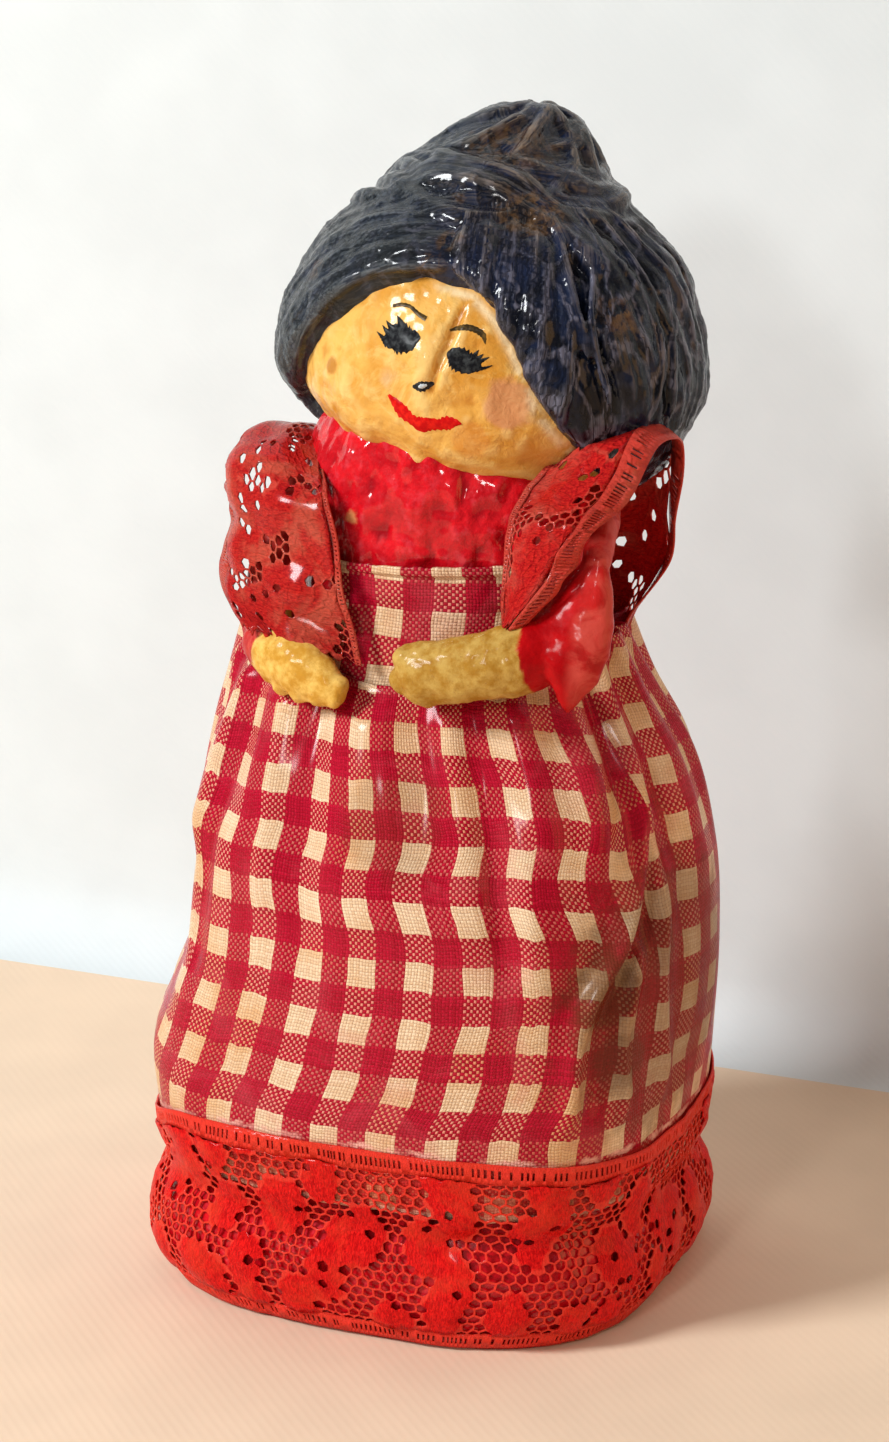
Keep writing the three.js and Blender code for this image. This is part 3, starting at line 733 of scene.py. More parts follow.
class Locks:
    # strands of hair, each a tapering tube that lies along the mass
    def __init__(self, mass):
        self.skin = skinTree(mass)
        self.parts, self.marks = [], []

    def lay(self, guide, radius, proud=0.45, taper=0.35, wave=0.0, lift=0.0):
        count = max(12, int(np.linalg.norm(np.diff(np.array(guide), axis=0), axis=1).sum() / 0.9))
        path = pathThrough(guide, count)
        along = np.linspace(0, 1, count)
        turn = hairRandom.uniform(0, 6.28)
        places, ups = [], []
        for point in path:
            hit, normal, _, _ = self.skin.find_nearest(Vector(point))
            places.append(list(hit))
            ups.append(list(normal))
        places, ups = np.array(places), np.array(ups)
        for _ in range(2):
            ups[1:-1] = (ups[:-2] + ups[1:-1] * 2 + ups[2:]) / 4
            places[1:-1] = (places[:-2] + places[1:-1] * 2 + places[2:]) / 4
        ups /= np.linalg.norm(ups, axis=1)[:, None]
        ahead = np.gradient(places, axis=0)
        ahead /= np.linalg.norm(ahead, axis=1)[:, None] + 1e-9
        side = np.cross(ahead, ups)
        side /= np.linalg.norm(side, axis=1)[:, None] + 1e-9
        length = np.concatenate([[0], np.cumsum(np.linalg.norm(np.diff(places, axis=0), axis=1))])
        places = places + side * (
            wave * np.sin(length / 3.1 + turn) * smooth(along * 4) * smooth(4 - along * 4)
        )[:, None]
        thick = radius * (taper + (1 - taper) * smooth(along / 0.14) * smooth((1 - along) / 0.18))
        thick = thick * (1 + 0.16 * np.sin(length / 2.3 + turn * 2))
        places = places + ups * (thick * (2 * proud - 1) + lift)[:, None]
        around = np.linspace(0, 2 * math.pi, hair["ringPoints"], endpoint=False)
        across, outward = np.cos(around)[None, :, None], np.sin(around)[None, :, None]
        rings = across * side[:, None, :] * 1.12 + outward * ups[:, None, :]
        rings = places[:, None, :] + thick[:, None, None] * rings
        n = hair["ringPoints"]
        faces = gridFaces(count, n, True)
        faces = [face[::-1] for face in faces]
        faces.append(list(range(n)))
        faces.append(list(range(count * n - 1, (count - 1) * n - 1, -1)))
        self.parts.append((rings.reshape(-1, 3), faces))
        tone = hairRandom.random()
        self.marks += [(places[i], side[i], length[i], tone) for i in range(count)]

    def fan(self, guides, number, radius, spread=0.3, **how):
        # strands laid side by side between the guide lines
        guides = np.array(guides, float)
        for k in range(number):
            at = (k + 0.5 + hairRandom.uniform(-spread, spread)) / number * (len(guides) - 1)
            low = min(int(at), len(guides) - 2)
            line = guides[low] + (guides[low + 1] - guides[low]) * (at - low)
            start, stop = hairRandom.uniform(0, 0.06), hairRandom.uniform(0.94, 1.0)
            line = pathThrough(line, 16)
            line = line[int(start * 16): max(int(stop * 16), 8)]
            self.lay(line, radius * hairRandom.uniform(0.72, 1.3), **how)


def layHair(locks):
    # fine combed strands over the right temple, from the parting down to the ear
    locks.fan([
        [
            (7.6, -13.8, 116.8), (2.5, -14.8, 117.0), (-3.5, -13.8, 114.8), (-8.8, -12.2, 110.4),
            (-12.8, -8.5, 104.5), (-13.8, -5.0, 98.5)
        ],
        [
            (6.6, -11.5, 119.4), (0.5, -11.8, 119.2), (-6.0, -9.6, 115.8), (-12.0, -7.4, 110.0),
            (-15.0, -4.0, 103.0), (-14.6, -2.0, 96.5)
        ],
        [
            (4.6, -7.0, 122.6), (-2.0, -7.0, 121.2), (-8.5, -4.8, 117.0), (-14.0, -3.0, 110.0),
            (-16.4, 0.0, 103.0), (-15.4, 1.0, 95.5)
        ],
        [
            (1.6, -3.0, 124.2), (-5.0, -2.0, 121.6), (-11.0, 0.6, 116.4), (-15.4, 2.4, 109.5),
            (-16.8, 4.4, 102.5), (-15.0, 5.0, 94.5)
        ],
    ], 34, 0.62, wave=0.25, proud=0.52)
    # the right side, behind the ear, and the back of the head
    locks.fan([
        [
            (0.0, 1.0, 125.0), (-7.0, 3.0, 121.0), (-13.0, 6.0, 115.0), (-16.0, 8.0, 107.0),
            (-15.6, 9.0, 99.0), (-13.0, 9.0, 92.0)
        ],
        [
            (0.6, 7.0, 126.0), (-5.0, 11.0, 120.0), (-10.0, 15.0, 113.0), (-12.4, 17.0, 105.0),
            (-11.0, 17.0, 97.0), (-8.0, 15.0, 90.5)
        ],
        [
            (4.0, 13.0, 126.0), (1.5, 18.5, 119.0), (-0.5, 23.0, 111.0), (-1.0, 24.6, 103.0),
            (0.0, 22.5, 96.0), (1.0, 19.0, 90.0)
        ],
        [
            (9.0, 15.0, 125.0), (10.0, 20.5, 118.0), (10.5, 24.0, 110.0), (10.5, 24.6, 102.0),
            (10.0, 22.0, 95.0), (9.5, 18.5, 90.0)
        ],
        [
            (14.0, 13.0, 122.5), (18.0, 17.5, 116.0), (20.5, 19.5, 109.0), (21.2, 19.0, 101.5),
            (20.0, 17.0, 95.0), (18.0, 15.0, 90.5)
        ],
    ], 40, 0.95, wave=0.5)
    # short dark locks that drop from the roll to the forehead
    locks.fan([
        [(7.4, -9.5, 120.8), (7.8, -12.2, 118.8), (8.6, -13.8, 116.4), (8.2, -14.4, 113.8)],
        [(9.6, -7.6, 121.8), (11.0, -11.2, 118.9), (11.2, -13.4, 114.6), (11.6, -13.9, 111.4)],
        [(12.8, -6.6, 121.2), (14.2, -10.6, 116.4), (15.0, -12.6, 110.4), (15.6, -13.2, 104.6)],
        [(16.4, -6.2, 119.4), (18.2, -9.8, 112.8), (18.8, -11.6, 105.2), (19.2, -12.0, 97.4)],
    ], 17, 0.85, wave=0.3, proud=0.55)
    # long ropes over the left cheek and shoulder
    locks.fan([
        [(18.4, -6.0, 118.4), (21.8, -8.0, 112.2), (23.6, -8.8, 104.0), (23.4, -8.6, 96.2)],
        [(17.6, -2.4, 120.2), (23.2, -4.2, 113.4), (26.2, -4.4, 105.0), (25.8, -3.6, 96.4)],
        [(18.4, 1.0, 120.4), (24.4, 0.2, 113.6), (27.6, 0.6, 105.0), (27.2, 1.6, 96.2)],
        [(19.0, 5.4, 119.6), (24.6, 6.2, 112.6), (27.0, 7.2, 104.0), (25.4, 7.4, 94.6)],
        [(18.0, 10.0, 119.8), (23.0, 13.0, 112.0), (24.6, 14.0, 103.0), (22.4, 13.2, 93.0)],
    ], 25, 0.98, wave=0.7, proud=0.55)
    # thin raised threads of paper that fork across them
    for start, bend, end in (
        ((16.0, -2.0, 121.0), (21.5, -5.6, 114.8), (26.0, -5.0, 104.0)),
        ((16.6, -0.4, 121.0), (24.2, -1.8, 113.6), (27.4, -1.2, 103.0)),
        ((17.4, 1.6, 120.8), (23.0, 1.8, 116.0), (28.0, 3.6, 105.0)),
        ((19.6, -6.4, 117.0), (20.6, -9.4, 109.6), (22.6, -9.6, 101.0)),
        ((21.2, -3.2, 116.4), (21.4, -7.4, 110.4), (24.6, -7.4, 100.4)),
        ((22.4, -1.6, 115.4), (25.8, -3.8, 107.4), (25.2, -6.2, 98.8)),
        ((24.0, 1.4, 114.0), (26.4, -1.2, 106.6), (26.8, -3.0, 98.6)),
        ((14.6, -5.6, 120.4), (18.6, -9.4, 114.0), (20.6, -11.0, 106.0)),
    ):
        locks.lay([start, bend, end], 0.42, proud=0.9, wave=0.5, lift=0.75)
    # the roll from the brow over the crown and down to the left ear
    for shift in (-1.3, 0.0, 1.3):
        locks.lay([
            (-2.6, -3.4 + shift, 123.6), (1.5, -4.2 + shift, 124.6), (6.0, -5.0 + shift, 124.4),
            (11.0, -5.0 + shift, 122.8),
            (16.0, -4.6 + shift * 0.8, 120.0), (21.0, -5.0 + shift * 0.8, 115.0), (25.0, -4.4 + shift, 108.4),
            (26.8, -3.6 + shift, 101.0),
        ], 1.25, proud=0.6, wave=0.25)
    # the wound top knot
    for turn in range(11):
        high = turn / 10
        wide = 1 - 0.75 * high
        base = 117.5 + 10.0 * high
        line = []
        for step in range(9):
            angle = math.radians(-215 + step * 30 + turn * 23)
            line.append(
                (
                    6.0 + 2.0 * high + 12.0 * wide * math.cos(angle),
                    6.5 + 2.6 * high + 11.0 * wide * math.sin(angle),
                    base + 2.6 * math.sin(angle * 0.5 + turn)
                )
            )
        locks.lay(line, 1.25 - 0.45 * high, proud=0.5, wave=0.9)
    for number in range(10):
        angle = math.radians(number * 36 + 12)
        locks.lay([
            (5.8 + 11.0 * math.cos(angle), 7.0 + 10.0 * math.sin(angle), 119.0),
            (6.8 + 7.5 * math.cos(angle + 0.3), 8.0 + 6.5 * math.sin(angle + 0.3), 123.4),
            (7.8 + 3.2 * math.cos(angle + 0.7), 9.0 + 2.8 * math.sin(angle + 0.7), 127.6),
            (8.0, 9.4, 129.6),
        ], 0.8, proud=0.55, wave=0.7)


def buildHair():
    mass = hairMass()
    locks = Locks(mass)
    layHair(locks)
    faces = [list(p.vertices) for p in mass.data.polygons]
    points, faces = joined([(pointsOf(mass.data), faces)] + locks.parts)
    bpy.data.objects.remove(mass)
    piece = fuse(newPiece("modelledHair", points, faces, hairFinish()), hair["voxel"], 0.25)
    points, normals = pointsOf(piece.data), normalsOf(piece.data)
    tree = kdtree.KDTree(len(locks.marks))
    for i, mark in enumerate(locks.marks):
        tree.insert(Vector(mark[0]), i)
    tree.balance()
    flow = np.zeros((len(points), 3))
    for i, point in enumerate(points):
        _, index, _ = tree.find(Vector(point))
        place, side, length, tone = locks.marks[index]
        flow[i] = (length * 0.10, np.dot(point - place, side) * 1.0, tone * 40)
    grain = lumps(flow * np.array([2.2, 3.0, 1.0]), 1.0, 6)
    points += normals * (0.07 * grain + 0.10 * lumps(points, 1.1, 17) + 0.12 * lumps(points, 2.6, 9))[:, None]
    movePoints(piece.data, points)
    storeVector(piece.data, "strand", flow)
    storeRelief(piece.data, 12, 0.42)
    return piece


def hairFinish():
    # blue-black gloss paint, with grey and brown dust rubbed over what stands proud, and painted light making
    # the figure's right temple, on the lamp's side, greyer and paler
    material, tree, shader = newMaterial("hairPaint", Coat_Weight=0.6, Coat_Roughness=0.12, Coat_IOR=1.4)
    where = objectPlace(tree)
    strand = storedVector(tree, "strand")
    relief = value(tree, "relief")
    streaks = noise(tree, strand, 3.4, 4.0, 0.65, 0.3)
    blotches = noise(tree, where, 230, 4.0, 0.6, 0.8)
    ink = mixed(tree, stretch(tree, blotches, 0.38, 0.66), (0.003, 0.004, 0.009, 1), (0.008, 0.014, 0.040, 1))
    leftSide = stretch(tree, part(tree, where, "X"), 9 * mm, -2 * mm)  # painted light: the figure's right temple, on the lamp's side, is painted greyer
    crown = stretch(tree, part(tree, where, "Z"), 112 * mm, 122 * mm)
    proud = stretch(tree, relief, 0.52, 0.80)
    # dust on the crown, and painted light on the lamp's side
    dustyAndLit = calc(tree, "MAXIMUM", leftSide, crown)
    share = calc(tree, "MULTIPLY_ADD", dustyAndLit, 0.40, 0.55)
    dustAndLight = times(tree, times(tree, proud, share), stretch(tree, streaks, 0.34, 0.62))
    dustAndLight = calc(tree, "MULTIPLY_ADD", dustyAndLit, times(tree, stretch(tree, streaks, 0.42, 0.60), 0.22), dustAndLight)
    grey = mixed(tree, crown, (0.150, 0.150, 0.200, 1), (0.190, 0.150, 0.120, 1))
    # painted light: a paler blue-grey on the lamp's side
    grey = mixed(tree, leftSide, grey, (0.175, 0.195, 0.205, 1))
    paint = mixed(tree, dustAndLight, ink, grey)
    # painted light: a slate tint on the lamp's side
    paint = wash(tree, paint, leftSide, 0.45, (0.036, 0.044, 0.050, 1))
    # pale forked ridges, where the dust has settled
    wander = add(
        tree, "ShaderNodeTexNoise", {"Vector": where, "Scale": 240.0, "Detail": 3.0}
    ).outputs["Color"]
    bent = add(
        tree, "ShaderNodeVectorMath", {0: wander, 1: (0.004, 0.004, 0.006), 2: where},
        operation="MULTIPLY_ADD"
    ).outputs[0]
    drawn = add(tree, "ShaderNodeMapping", {"Vector": bent, "Scale": (260.0, 260.0, 85.0)}).outputs[0]
    forks = add(
        tree, "ShaderNodeTexVoronoi", {"Vector": drawn, "Scale": 1.0, "Randomness": 1.0},
        feature="DISTANCE_TO_EDGE"
    ).outputs[0]
    ridges = times(tree, stretch(tree, forks, 0.09, 0.01), stretch(tree, streaks, 0.36, 0.56))
    shown = calc(tree, "MULTIPLY_ADD", dustyAndLit, -0.6, 0.75)
    paint = wash(tree, paint, ridges, shown, (0.150, 0.150, 0.205, 1))
    threadbare = stretch(tree, noise(tree, where, 700, 4.0, 0.7, 0.6), 0.42, 0.56)
    for centre, size, share in (
        ((12.6, -5.4, 119.6), 4.2, 0.75), ((22.0, -7.0, 110.4), 3.0, 0.75), ((8.0, 1.0, 124.6), 5.5, 0.45),
        ((6.2, -11.2, 118.4), 1.8, 0.6), ((4.4, -14.0, 115.6), 2.4, 0.5), ((-9.0, -9.0, 113.4), 2.2, 0.35),
        ((5.4, -6.8, 121.4), 1.6, 0.6), ((16.0, -7.4, 114.6), 2.0, 0.45),
    ):
        bare = times(tree, times(tree, patch(tree, where, centre, size, 0.7, 500.0), share), threadbare)
        paint = wash(tree, paint, bare, 0.7, (0.20, 0.105, 0.042, 1))
    colourBy(tree, shader, paint)
    tree.links.new(stretch(tree, dustAndLight, 0.0, 0.7, 0.22, 0.62), shader.inputs["Roughness"])
    height = calc(tree, "ADD", streaks, times(tree, noise(tree, where, 1500, 3.0), 0.35))
    height = calc(tree, "MULTIPLY_ADD", stretch(tree, forks, 0.16, 0.0), 0.8, height)
    bumps(tree, shader, height, 0.24)
    return material


hairPiece = buildHair()
print("hair:", len(hairPiece.data.polygons), "faces")


# ---------- the arms ----------

arms = {
    # places and radii along each limb
    "leftHand": [
        (-14.4, -14.5, 74.2, 2.3), (-12.4, -15.6, 73.7, 3.0), (-9.8, -17.0, 73.3, 3.3),
        (-7.4, -18.2, 72.6, 3.0), (-5.4, -19.0, 72.0, 2.4), (-3.9, -19.6, 71.4, 1.6)
    ],
    "leftKnuckles": [
        (-12.6, -16.0, 71.6, 1.2), (-10.6, -17.6, 71.0, 1.3), (-8.2, -18.6, 70.6, 1.3),
        (-5.8, -19.4, 70.6, 1.1), (-3.5, -20.0, 70.7, 0.9), (-3.4, -19.6, 72.0, 1.2),
        (-12.8, -15.4, 75.8, 1.2)
    ],
    "leftUpper": [
        (-14.6, -5.0, 89.0, 2.6), (-15.2, -9.4, 82.0, 2.7), (-14.6, -12.2, 76.6, 2.7),
        (-14.4, -13.0, 72.8, 2.4)
    ],
    "rightForearm": [
        (19.0, -17.0, 77.6, 3.3), (17.0, -17.8, 77.0, 3.9), (14.8, -19.0, 76.4, 3.7),
        (12.0, -19.9, 75.8, 3.5), (9.2, -20.2, 75.1, 3.5), (6.9, -20.2, 74.7, 3.4)
    ],
    "rightKnuckles": [(5.0, -20.6, 76.2, 1.5), (4.6, -20.4, 73.8, 1.6), (7.4, -20.4, 72.4, 1.3)],
    "rightUpper": [(20.0, -4.0, 90.0, 2.4), (22.4, -10.0, 89.4, 1.9), (23.6, -14.6, 87.0, 1.6)],
    # the flared paper cuff: its left edge, its right edge and its half depth, from the top to the mouth
    "cuff": [
        ((22.4, -14.6, 87.4), (24.7, -14.6, 87.9), 1.4), ((21.2, -14.8, 85.8), (25.4, -14.8, 84.4), 2.1),
        ((19.4, -15.2, 83.8), (25.8, -15.2, 80.6), 2.6),
        ((18.6, -15.8, 82.0), (25.5, -15.8, 77.6), 3.0), ((17.6, -16.4, 81.2), (24.6, -16.4, 74.8), 3.3),
        ((16.8, -17.0, 80.6), (22.6, -17.0, 72.4), 3.3),
        ((17.0, -17.4, 79.8), (21.5, -17.4, 71.2), 2.5),
    ],
    "flat": 0.78,  # the limbs are flatter than they are tall
    "voxel": 0.28,
    "lumps": 0.26,
}


def limb(knots):
    # overlapping balls along a line that swells and shrinks
    line = pathThrough(knots, 8 * len(knots))
    ways, faces = ball(3)
    return [(ways * radius * (1, arms["flat"], 1) + (x, y, z), faces) for x, y, z, radius in line]


def loft(rings, count=40):
    # a closed skin through flattened rings
    turn = np.linspace(0, 2 * math.pi, count, endpoint=False)
    across, deep = np.cos(turn), np.sign(np.sin(turn)) * np.abs(np.sin(turn)) ** 0.7
    toward = np.array([math.sin(math.radians(studio["turn"])), -math.cos(math.radians(studio["turn"])), 0])
    rows = []
    for left, right, half in rings:
        left, right = np.array(left), np.array(right)
        rows.append((left + right) / 2 + across[:, None] * (right - left) / 2 + deep[:, None] * toward * half)
    faces = gridFaces(len(rings), count, True)
    faces.append(list(range(count - 1, -1, -1)))
    faces.append(list(range((len(rings) - 1) * count, len(rings) * count)))
    return np.vstack(rows), faces


def buildArm(name, limbs, knuckles, skinEnd, shade, extra=()):
    ways, faces = ball(3)
    bits = [part for knots in limbs for part in limb(knots)]
    bits += [(ways * radius + (x, y, z), faces) for x, y, z, radius in knuckles] + list(extra)
    points, faces = joined(bits)
    piece = fuse(newPiece(name, points, faces, armFinish(name, shade)), arms["voxel"], 0.5)
    points, normals = pointsOf(piece.data), normalsOf(piece.data)
    painted = skinEnd(points)
    rise = arms["lumps"] * (
        roughness(points, 2.6, 31) + 0.6 * roughness(points, 1.1, 37)
    ) * (1 - 0.5 * painted)
    movePoints(piece.data, points + normals * rise[:, None])
    storeValue(piece.data, "sleevePaint", painted)
    storeRelief(piece.data, 12, 0.14)
    return piece


def armFinish(name, shade):
    # ochre flesh, with the painted red sleeve above it; painted shade in the flesh's hollows and a painted
    # sheen on the sleeves' sides
    material, tree, shader = newMaterial(
        name + "Paint", Roughness=0.45, Coat_Weight=0.22, Coat_Roughness=0.12, Coat_IOR=1.36
    )
    where = objectPlace(tree)
    relief = value(tree, "relief")
    # the flesh is scaled by shade: the folded forearm's is darker, as painted shade
    flesh = mixed(
        tree, stretch(tree, noise(tree, where, 480, 5.0, 0.65), 0.36, 0.66),
        (0.56 * shade, 0.27 * shade, 0.030 * shade, 1), (0.82 * shade, 0.52 * shade, 0.13 * shade, 1)
    )
    # painted shade: darker flesh in the hollows
    flesh = wash(tree, flesh, stretch(tree, relief, 0.45, 0.1), 0.7, (0.40, 0.17, 0.02, 1))
    specks = stretch(tree, noise(tree, where, 2600, 3.0, 0.7), 0.62, 0.72)
    flesh = wash(tree, flesh, specks, 0.5, (0.28, 0.13, 0.04, 1))
    red = mixed(
        tree, stretch(tree, noise(tree, where, 330, 4.0, 0.6, 0.5), 0.35, 0.68), (0.34, 0.001, 0.003, 1),
        (0.48, 0.003, 0.005, 1)
    )
    # painted sheen: a paler pink on the sleeves' sides
    across = part(tree, where, "X")
    side = stretch(tree, across, 21.6 * mm, 23.4 * mm)
    side = calc(tree, "MAXIMUM", side, stretch(tree, across, -10 * mm, -12 * mm))
    cloudy = stretch(tree, noise(tree, where, 260, 4.0, 0.65, 0.8), 0.40, 0.62, 0.15, 0.8)
    red = wash(tree, red, side, cloudy, (0.58, 0.075, 0.055, 1))
    paint = mixed(tree, value(tree, "sleevePaint"), flesh, red)
    colourBy(tree, shader, paint)
    height = calc(
        tree, "ADD", noise(tree, where, 900, 4.0, 0.6), times(tree, noise(tree, where, 330, 2.0), 1.6)
    )
    bumps(tree, shader, height, 0.14)
    return material


def leftPaint(points):
    edge = -13.9 - points[:, 0] + (points[:, 2] - 75.5) * 0.30 + 0.4 * roughness(points, 1.6, 3)
    return smooth(np.maximum(edge, points[:, 1] + 12.4) / 0.25 + 0.5)


def rightPaint(points):
    edge = points[:, 0] - 17.1 - (80 - points[:, 2]) * 0.2 + 0.45 * roughness(points, 1.8, 4)
    return smooth(edge / 0.25 + 0.5)


leftArmPiece = buildArm(
    "handAcrossWaist", [arms["leftUpper"], arms["leftHand"]], arms["leftKnuckles"], leftPaint, 1.0
)
# its flesh is painted at 0.68 of the other arm's, as painted shade
rightArmPiece = buildArm(
    "foldedForearm", [arms["rightUpper"], arms["rightForearm"]], arms["rightKnuckles"], rightPaint, 0.68,
    [loft(arms["cuff"])]
)
print("arms:", len(leftArmPiece.data.polygons) + len(rightArmPiece.data.polygons), "faces")


# ---------- the checked cotton ----------

cotton = {
    "check": 3.175,  # eighth-of-an-inch checks
    "threads": 9,  # threads to a check
    "thick": 0.5,
    "columnsRound": 29,  # pairs of checks in the skirt's width
    "phase": 0.15,
}


def gingham(name, age, glued):
    # red and cream threads crossing over and under; each check is nine threads wide
    material, tree, shader = newMaterial(name, Coat_Weight=0.4, Coat_Roughness=0.14, Coat_IOR=1.34)
    where = objectPlace(tree)
    cloth = add(tree, "ShaderNodeUVMap", {}, uv_map="cloth").outputs[0]
    wander = add(tree, "ShaderNodeTexNoise", {"Vector": cloth, "Scale": 0.55, "Detail": 2.0}).outputs["Color"]
    wander = add(
        tree, "ShaderNodeVectorMath", {0: wander, 1: (0.5, 0.5, 0.5)}, operation="SUBTRACT"
    ).outputs[0]
    moved = add(
        tree, "ShaderNodeVectorMath", {0: wander, 1: (0.30, 0.30, 0.0), 2: cloth}, operation="MULTIPLY_ADD"
    ).outputs[0]
    split = add(tree, "ShaderNodeSeparateXYZ", {0: moved})
    u, v = split.outputs[0], split.outputs[1]

    def threadParts(along):
        scaled = times(tree, along, float(cotton["threads"]))
        number = calc(tree, "FLOOR", scaled)
        inside = calc(tree, "FRACT", scaled)
        round_ = calc(
            tree, "SUBTRACT", 1.0,
            calc(tree, "POWER", calc(tree, "ABSOLUTE", calc(tree, "MULTIPLY_ADD", inside, 2.0, -1.0)), 2.0)
        )
        red = calc(
            tree, "FLOORED_MODULO",
            calc(
                tree, "FLOOR", calc(tree, "DIVIDE", calc(tree, "ADD", number, 0.5), float(cotton["threads"]))
            ),
            2.0
        )
        return number, round_, red

    numberU, roundU, redU = threadParts(u)
    numberV, roundV, redV = threadParts(v)
    # 1 where the upright thread is on top
    over = calc(tree, "FLOORED_MODULO", calc(tree, "ADD", numberU, numberV), 2.0)
    isRed = mixedValue(tree, over, redV, redU)
    bulge = mixedValue(
        tree, over, times(tree, roundV, calc(tree, "MULTIPLY_ADD", roundU, 0.5, 0.5)),
        times(tree, roundU, calc(tree, "MULTIPLY_ADD", roundV, 0.5, 0.5))
    )
    # where red and cream cross, the soaked red spreads and leaves a small cream dash of each cream thread
    uneven = calc(tree, "ABSOLUTE", calc(tree, "SUBTRACT", redU, redV))
    dash = times(tree, stretch(tree, roundU, 0.30, 0.70), stretch(tree, roundV, 0.10, 0.50))
    # red upright threads hide the cream ones
    dash = times(tree, dash, calc(tree, "MULTIPLY_ADD", redU, -0.55, 1.0))
    soaked = times(tree, uneven, calc(tree, "SUBTRACT", 1.0, dash))
    isRed = calc(tree, "MAXIMUM", isRed, soaked)
    tintU = add(tree, "ShaderNodeTexWhiteNoise", {"W": numberU}, noise_dimensions="1D").outputs[0]
    tintV = add(
        tree, "ShaderNodeTexWhiteNoise", {"W": calc(tree, "ADD", numberV, 311.0)}, noise_dimensions="1D"
    ).outputs[0]
    tint = mixedValue(tree, over, tintV, tintU)
    cream = mixed(tree, tint, (0.74, 0.50, 0.30, 1), (0.88, 0.66, 0.44, 1))
    cream = wash(tree, cream, uneven, 0.8, (0.72, 0.20, 0.16, 1))
    aged = stretch(tree, noise(tree, where, 75, 3.0, 0.55, 0.4), 0.42, 0.66)
    cream = wash(tree, cream, aged, age, (0.66, 0.30, 0.08, 1))
    red = mixed(tree, tint, (0.36, 0.002, 0.016, 1), (0.50, 0.005, 0.030, 1))
    paint = mixed(tree, isRed, cream, red)
    paint = mixed(tree, stretch(tree, bulge, 0.42, 0.0, 0.0, 0.5), paint, (0.20, 0.006, 0.010, 1))
    film = stretch(tree, noise(tree, where, 120, 4.0, 0.6, 0.8), 0.50, 0.68)
    paint = wash(tree, paint, film, 0.20, (0.60, 0.10, 0.12, 1))
    # dark smudges of dirt; the one at (26.6, -17.6, 41.2) also paints a fold's valley as painted shade, and
    # the broad one round (32, -8, 38) is painted shade on the figure's left side
    for centre, size, share in (
        ((26.6, -17.6, 41.2), 5.2, 0.55), ((27.6, -15.4, 33.0), 4.0, 0.4), ((4.0, -22.0, 58.0), 7.0, 0.22),
        ((29.0, -9.0, 44.0), 4.0, 0.3), ((32.0, -8.0, 38.0), 19.0, 0.48)
    ):
        dirtAndShade = times(tree, patch(tree, where, centre, size, 0.5, 420.0), share)
        paint = mixed(tree, dirtAndShade, paint, (0.10, 0.035, 0.012, 1))
    # under the lace the red dye has run into the cloth
    under = stretch(tree, value(tree, "aboveLace"), 0.4, -0.4)
    paint = wash(tree, paint, times(tree, under, glued), 0.62, (0.60, 0.035, 0.02, 1))
    # a frayed pale line of glue where the cloth meets the lace, and at the cloth's own cut edge
    ragged = noise(tree, where, 900, 4.0, 0.7)
    above = calc(tree, "MULTIPLY_ADD", ragged, 1.6, value(tree, "aboveLace"))
    glue = times(tree, stretch(tree, above, 0.7, 1.0), stretch(tree, above, 1.7, 1.2))
    glue = times(tree, glue, glued)
    paint = wash(
        tree, paint, glue, stretch(tree, noise(tree, where, 260, 3.0), 0.42, 0.6), (0.84, 0.42, 0.34, 1)
    )
    fray = times(tree, stretch(tree, calc(tree, "MULTIPLY_ADD", ragged, -0.5, v), 0.0, -0.10), glued * 0.5)
    paint = mixed(tree, fray, paint, (0.84, 0.60, 0.42, 1))
    colourBy(tree, shader, paint)
    sealed = stretch(tree, noise(tree, where, 160, 3.0, 0.5, 0.5), 0.40, 0.62, 0.58, 0.30)
    tree.links.new(sealed, shader.inputs["Roughness"])
    height = calc(tree, "ADD", bulge, times(tree, noise(tree, where, 500, 3.0), 1.2))
    bumps(tree, shader, height, 0.07)
    return material


def mixedValue(tree, share, first, second):
    return add(tree, "ShaderNodeMix", {0: share, 2: first, 3: second}, data_type="FLOAT").outputs[0]


def storeCloth(mesh, across, along):
    # the cloth's own measure, in checks, on every corner of every face
    layer = mesh.uv_layers.new(name="cloth")
    corner = np.empty(len(mesh.loops), np.int64)
    mesh.loops.foreach_get("vertex_index", corner)
    layer.data.foreach_set("uv", np.column_stack([across, along])[corner].ravel().astype(np.float32))


def splitSeam(mesh, columns):
    # on a closed ring the last faces measure on past the seam
    layer = mesh.uv_layers["cloth"].data
    for face in mesh.polygons:
        us = [layer[i].uv[0] for i in face.loop_indices]
        if max(us) - min(us) > columns / 2:
            for i in face.loop_indices:
                if layer[i].uv[0] < columns / 2:
                    layer[i].uv[0] += columns


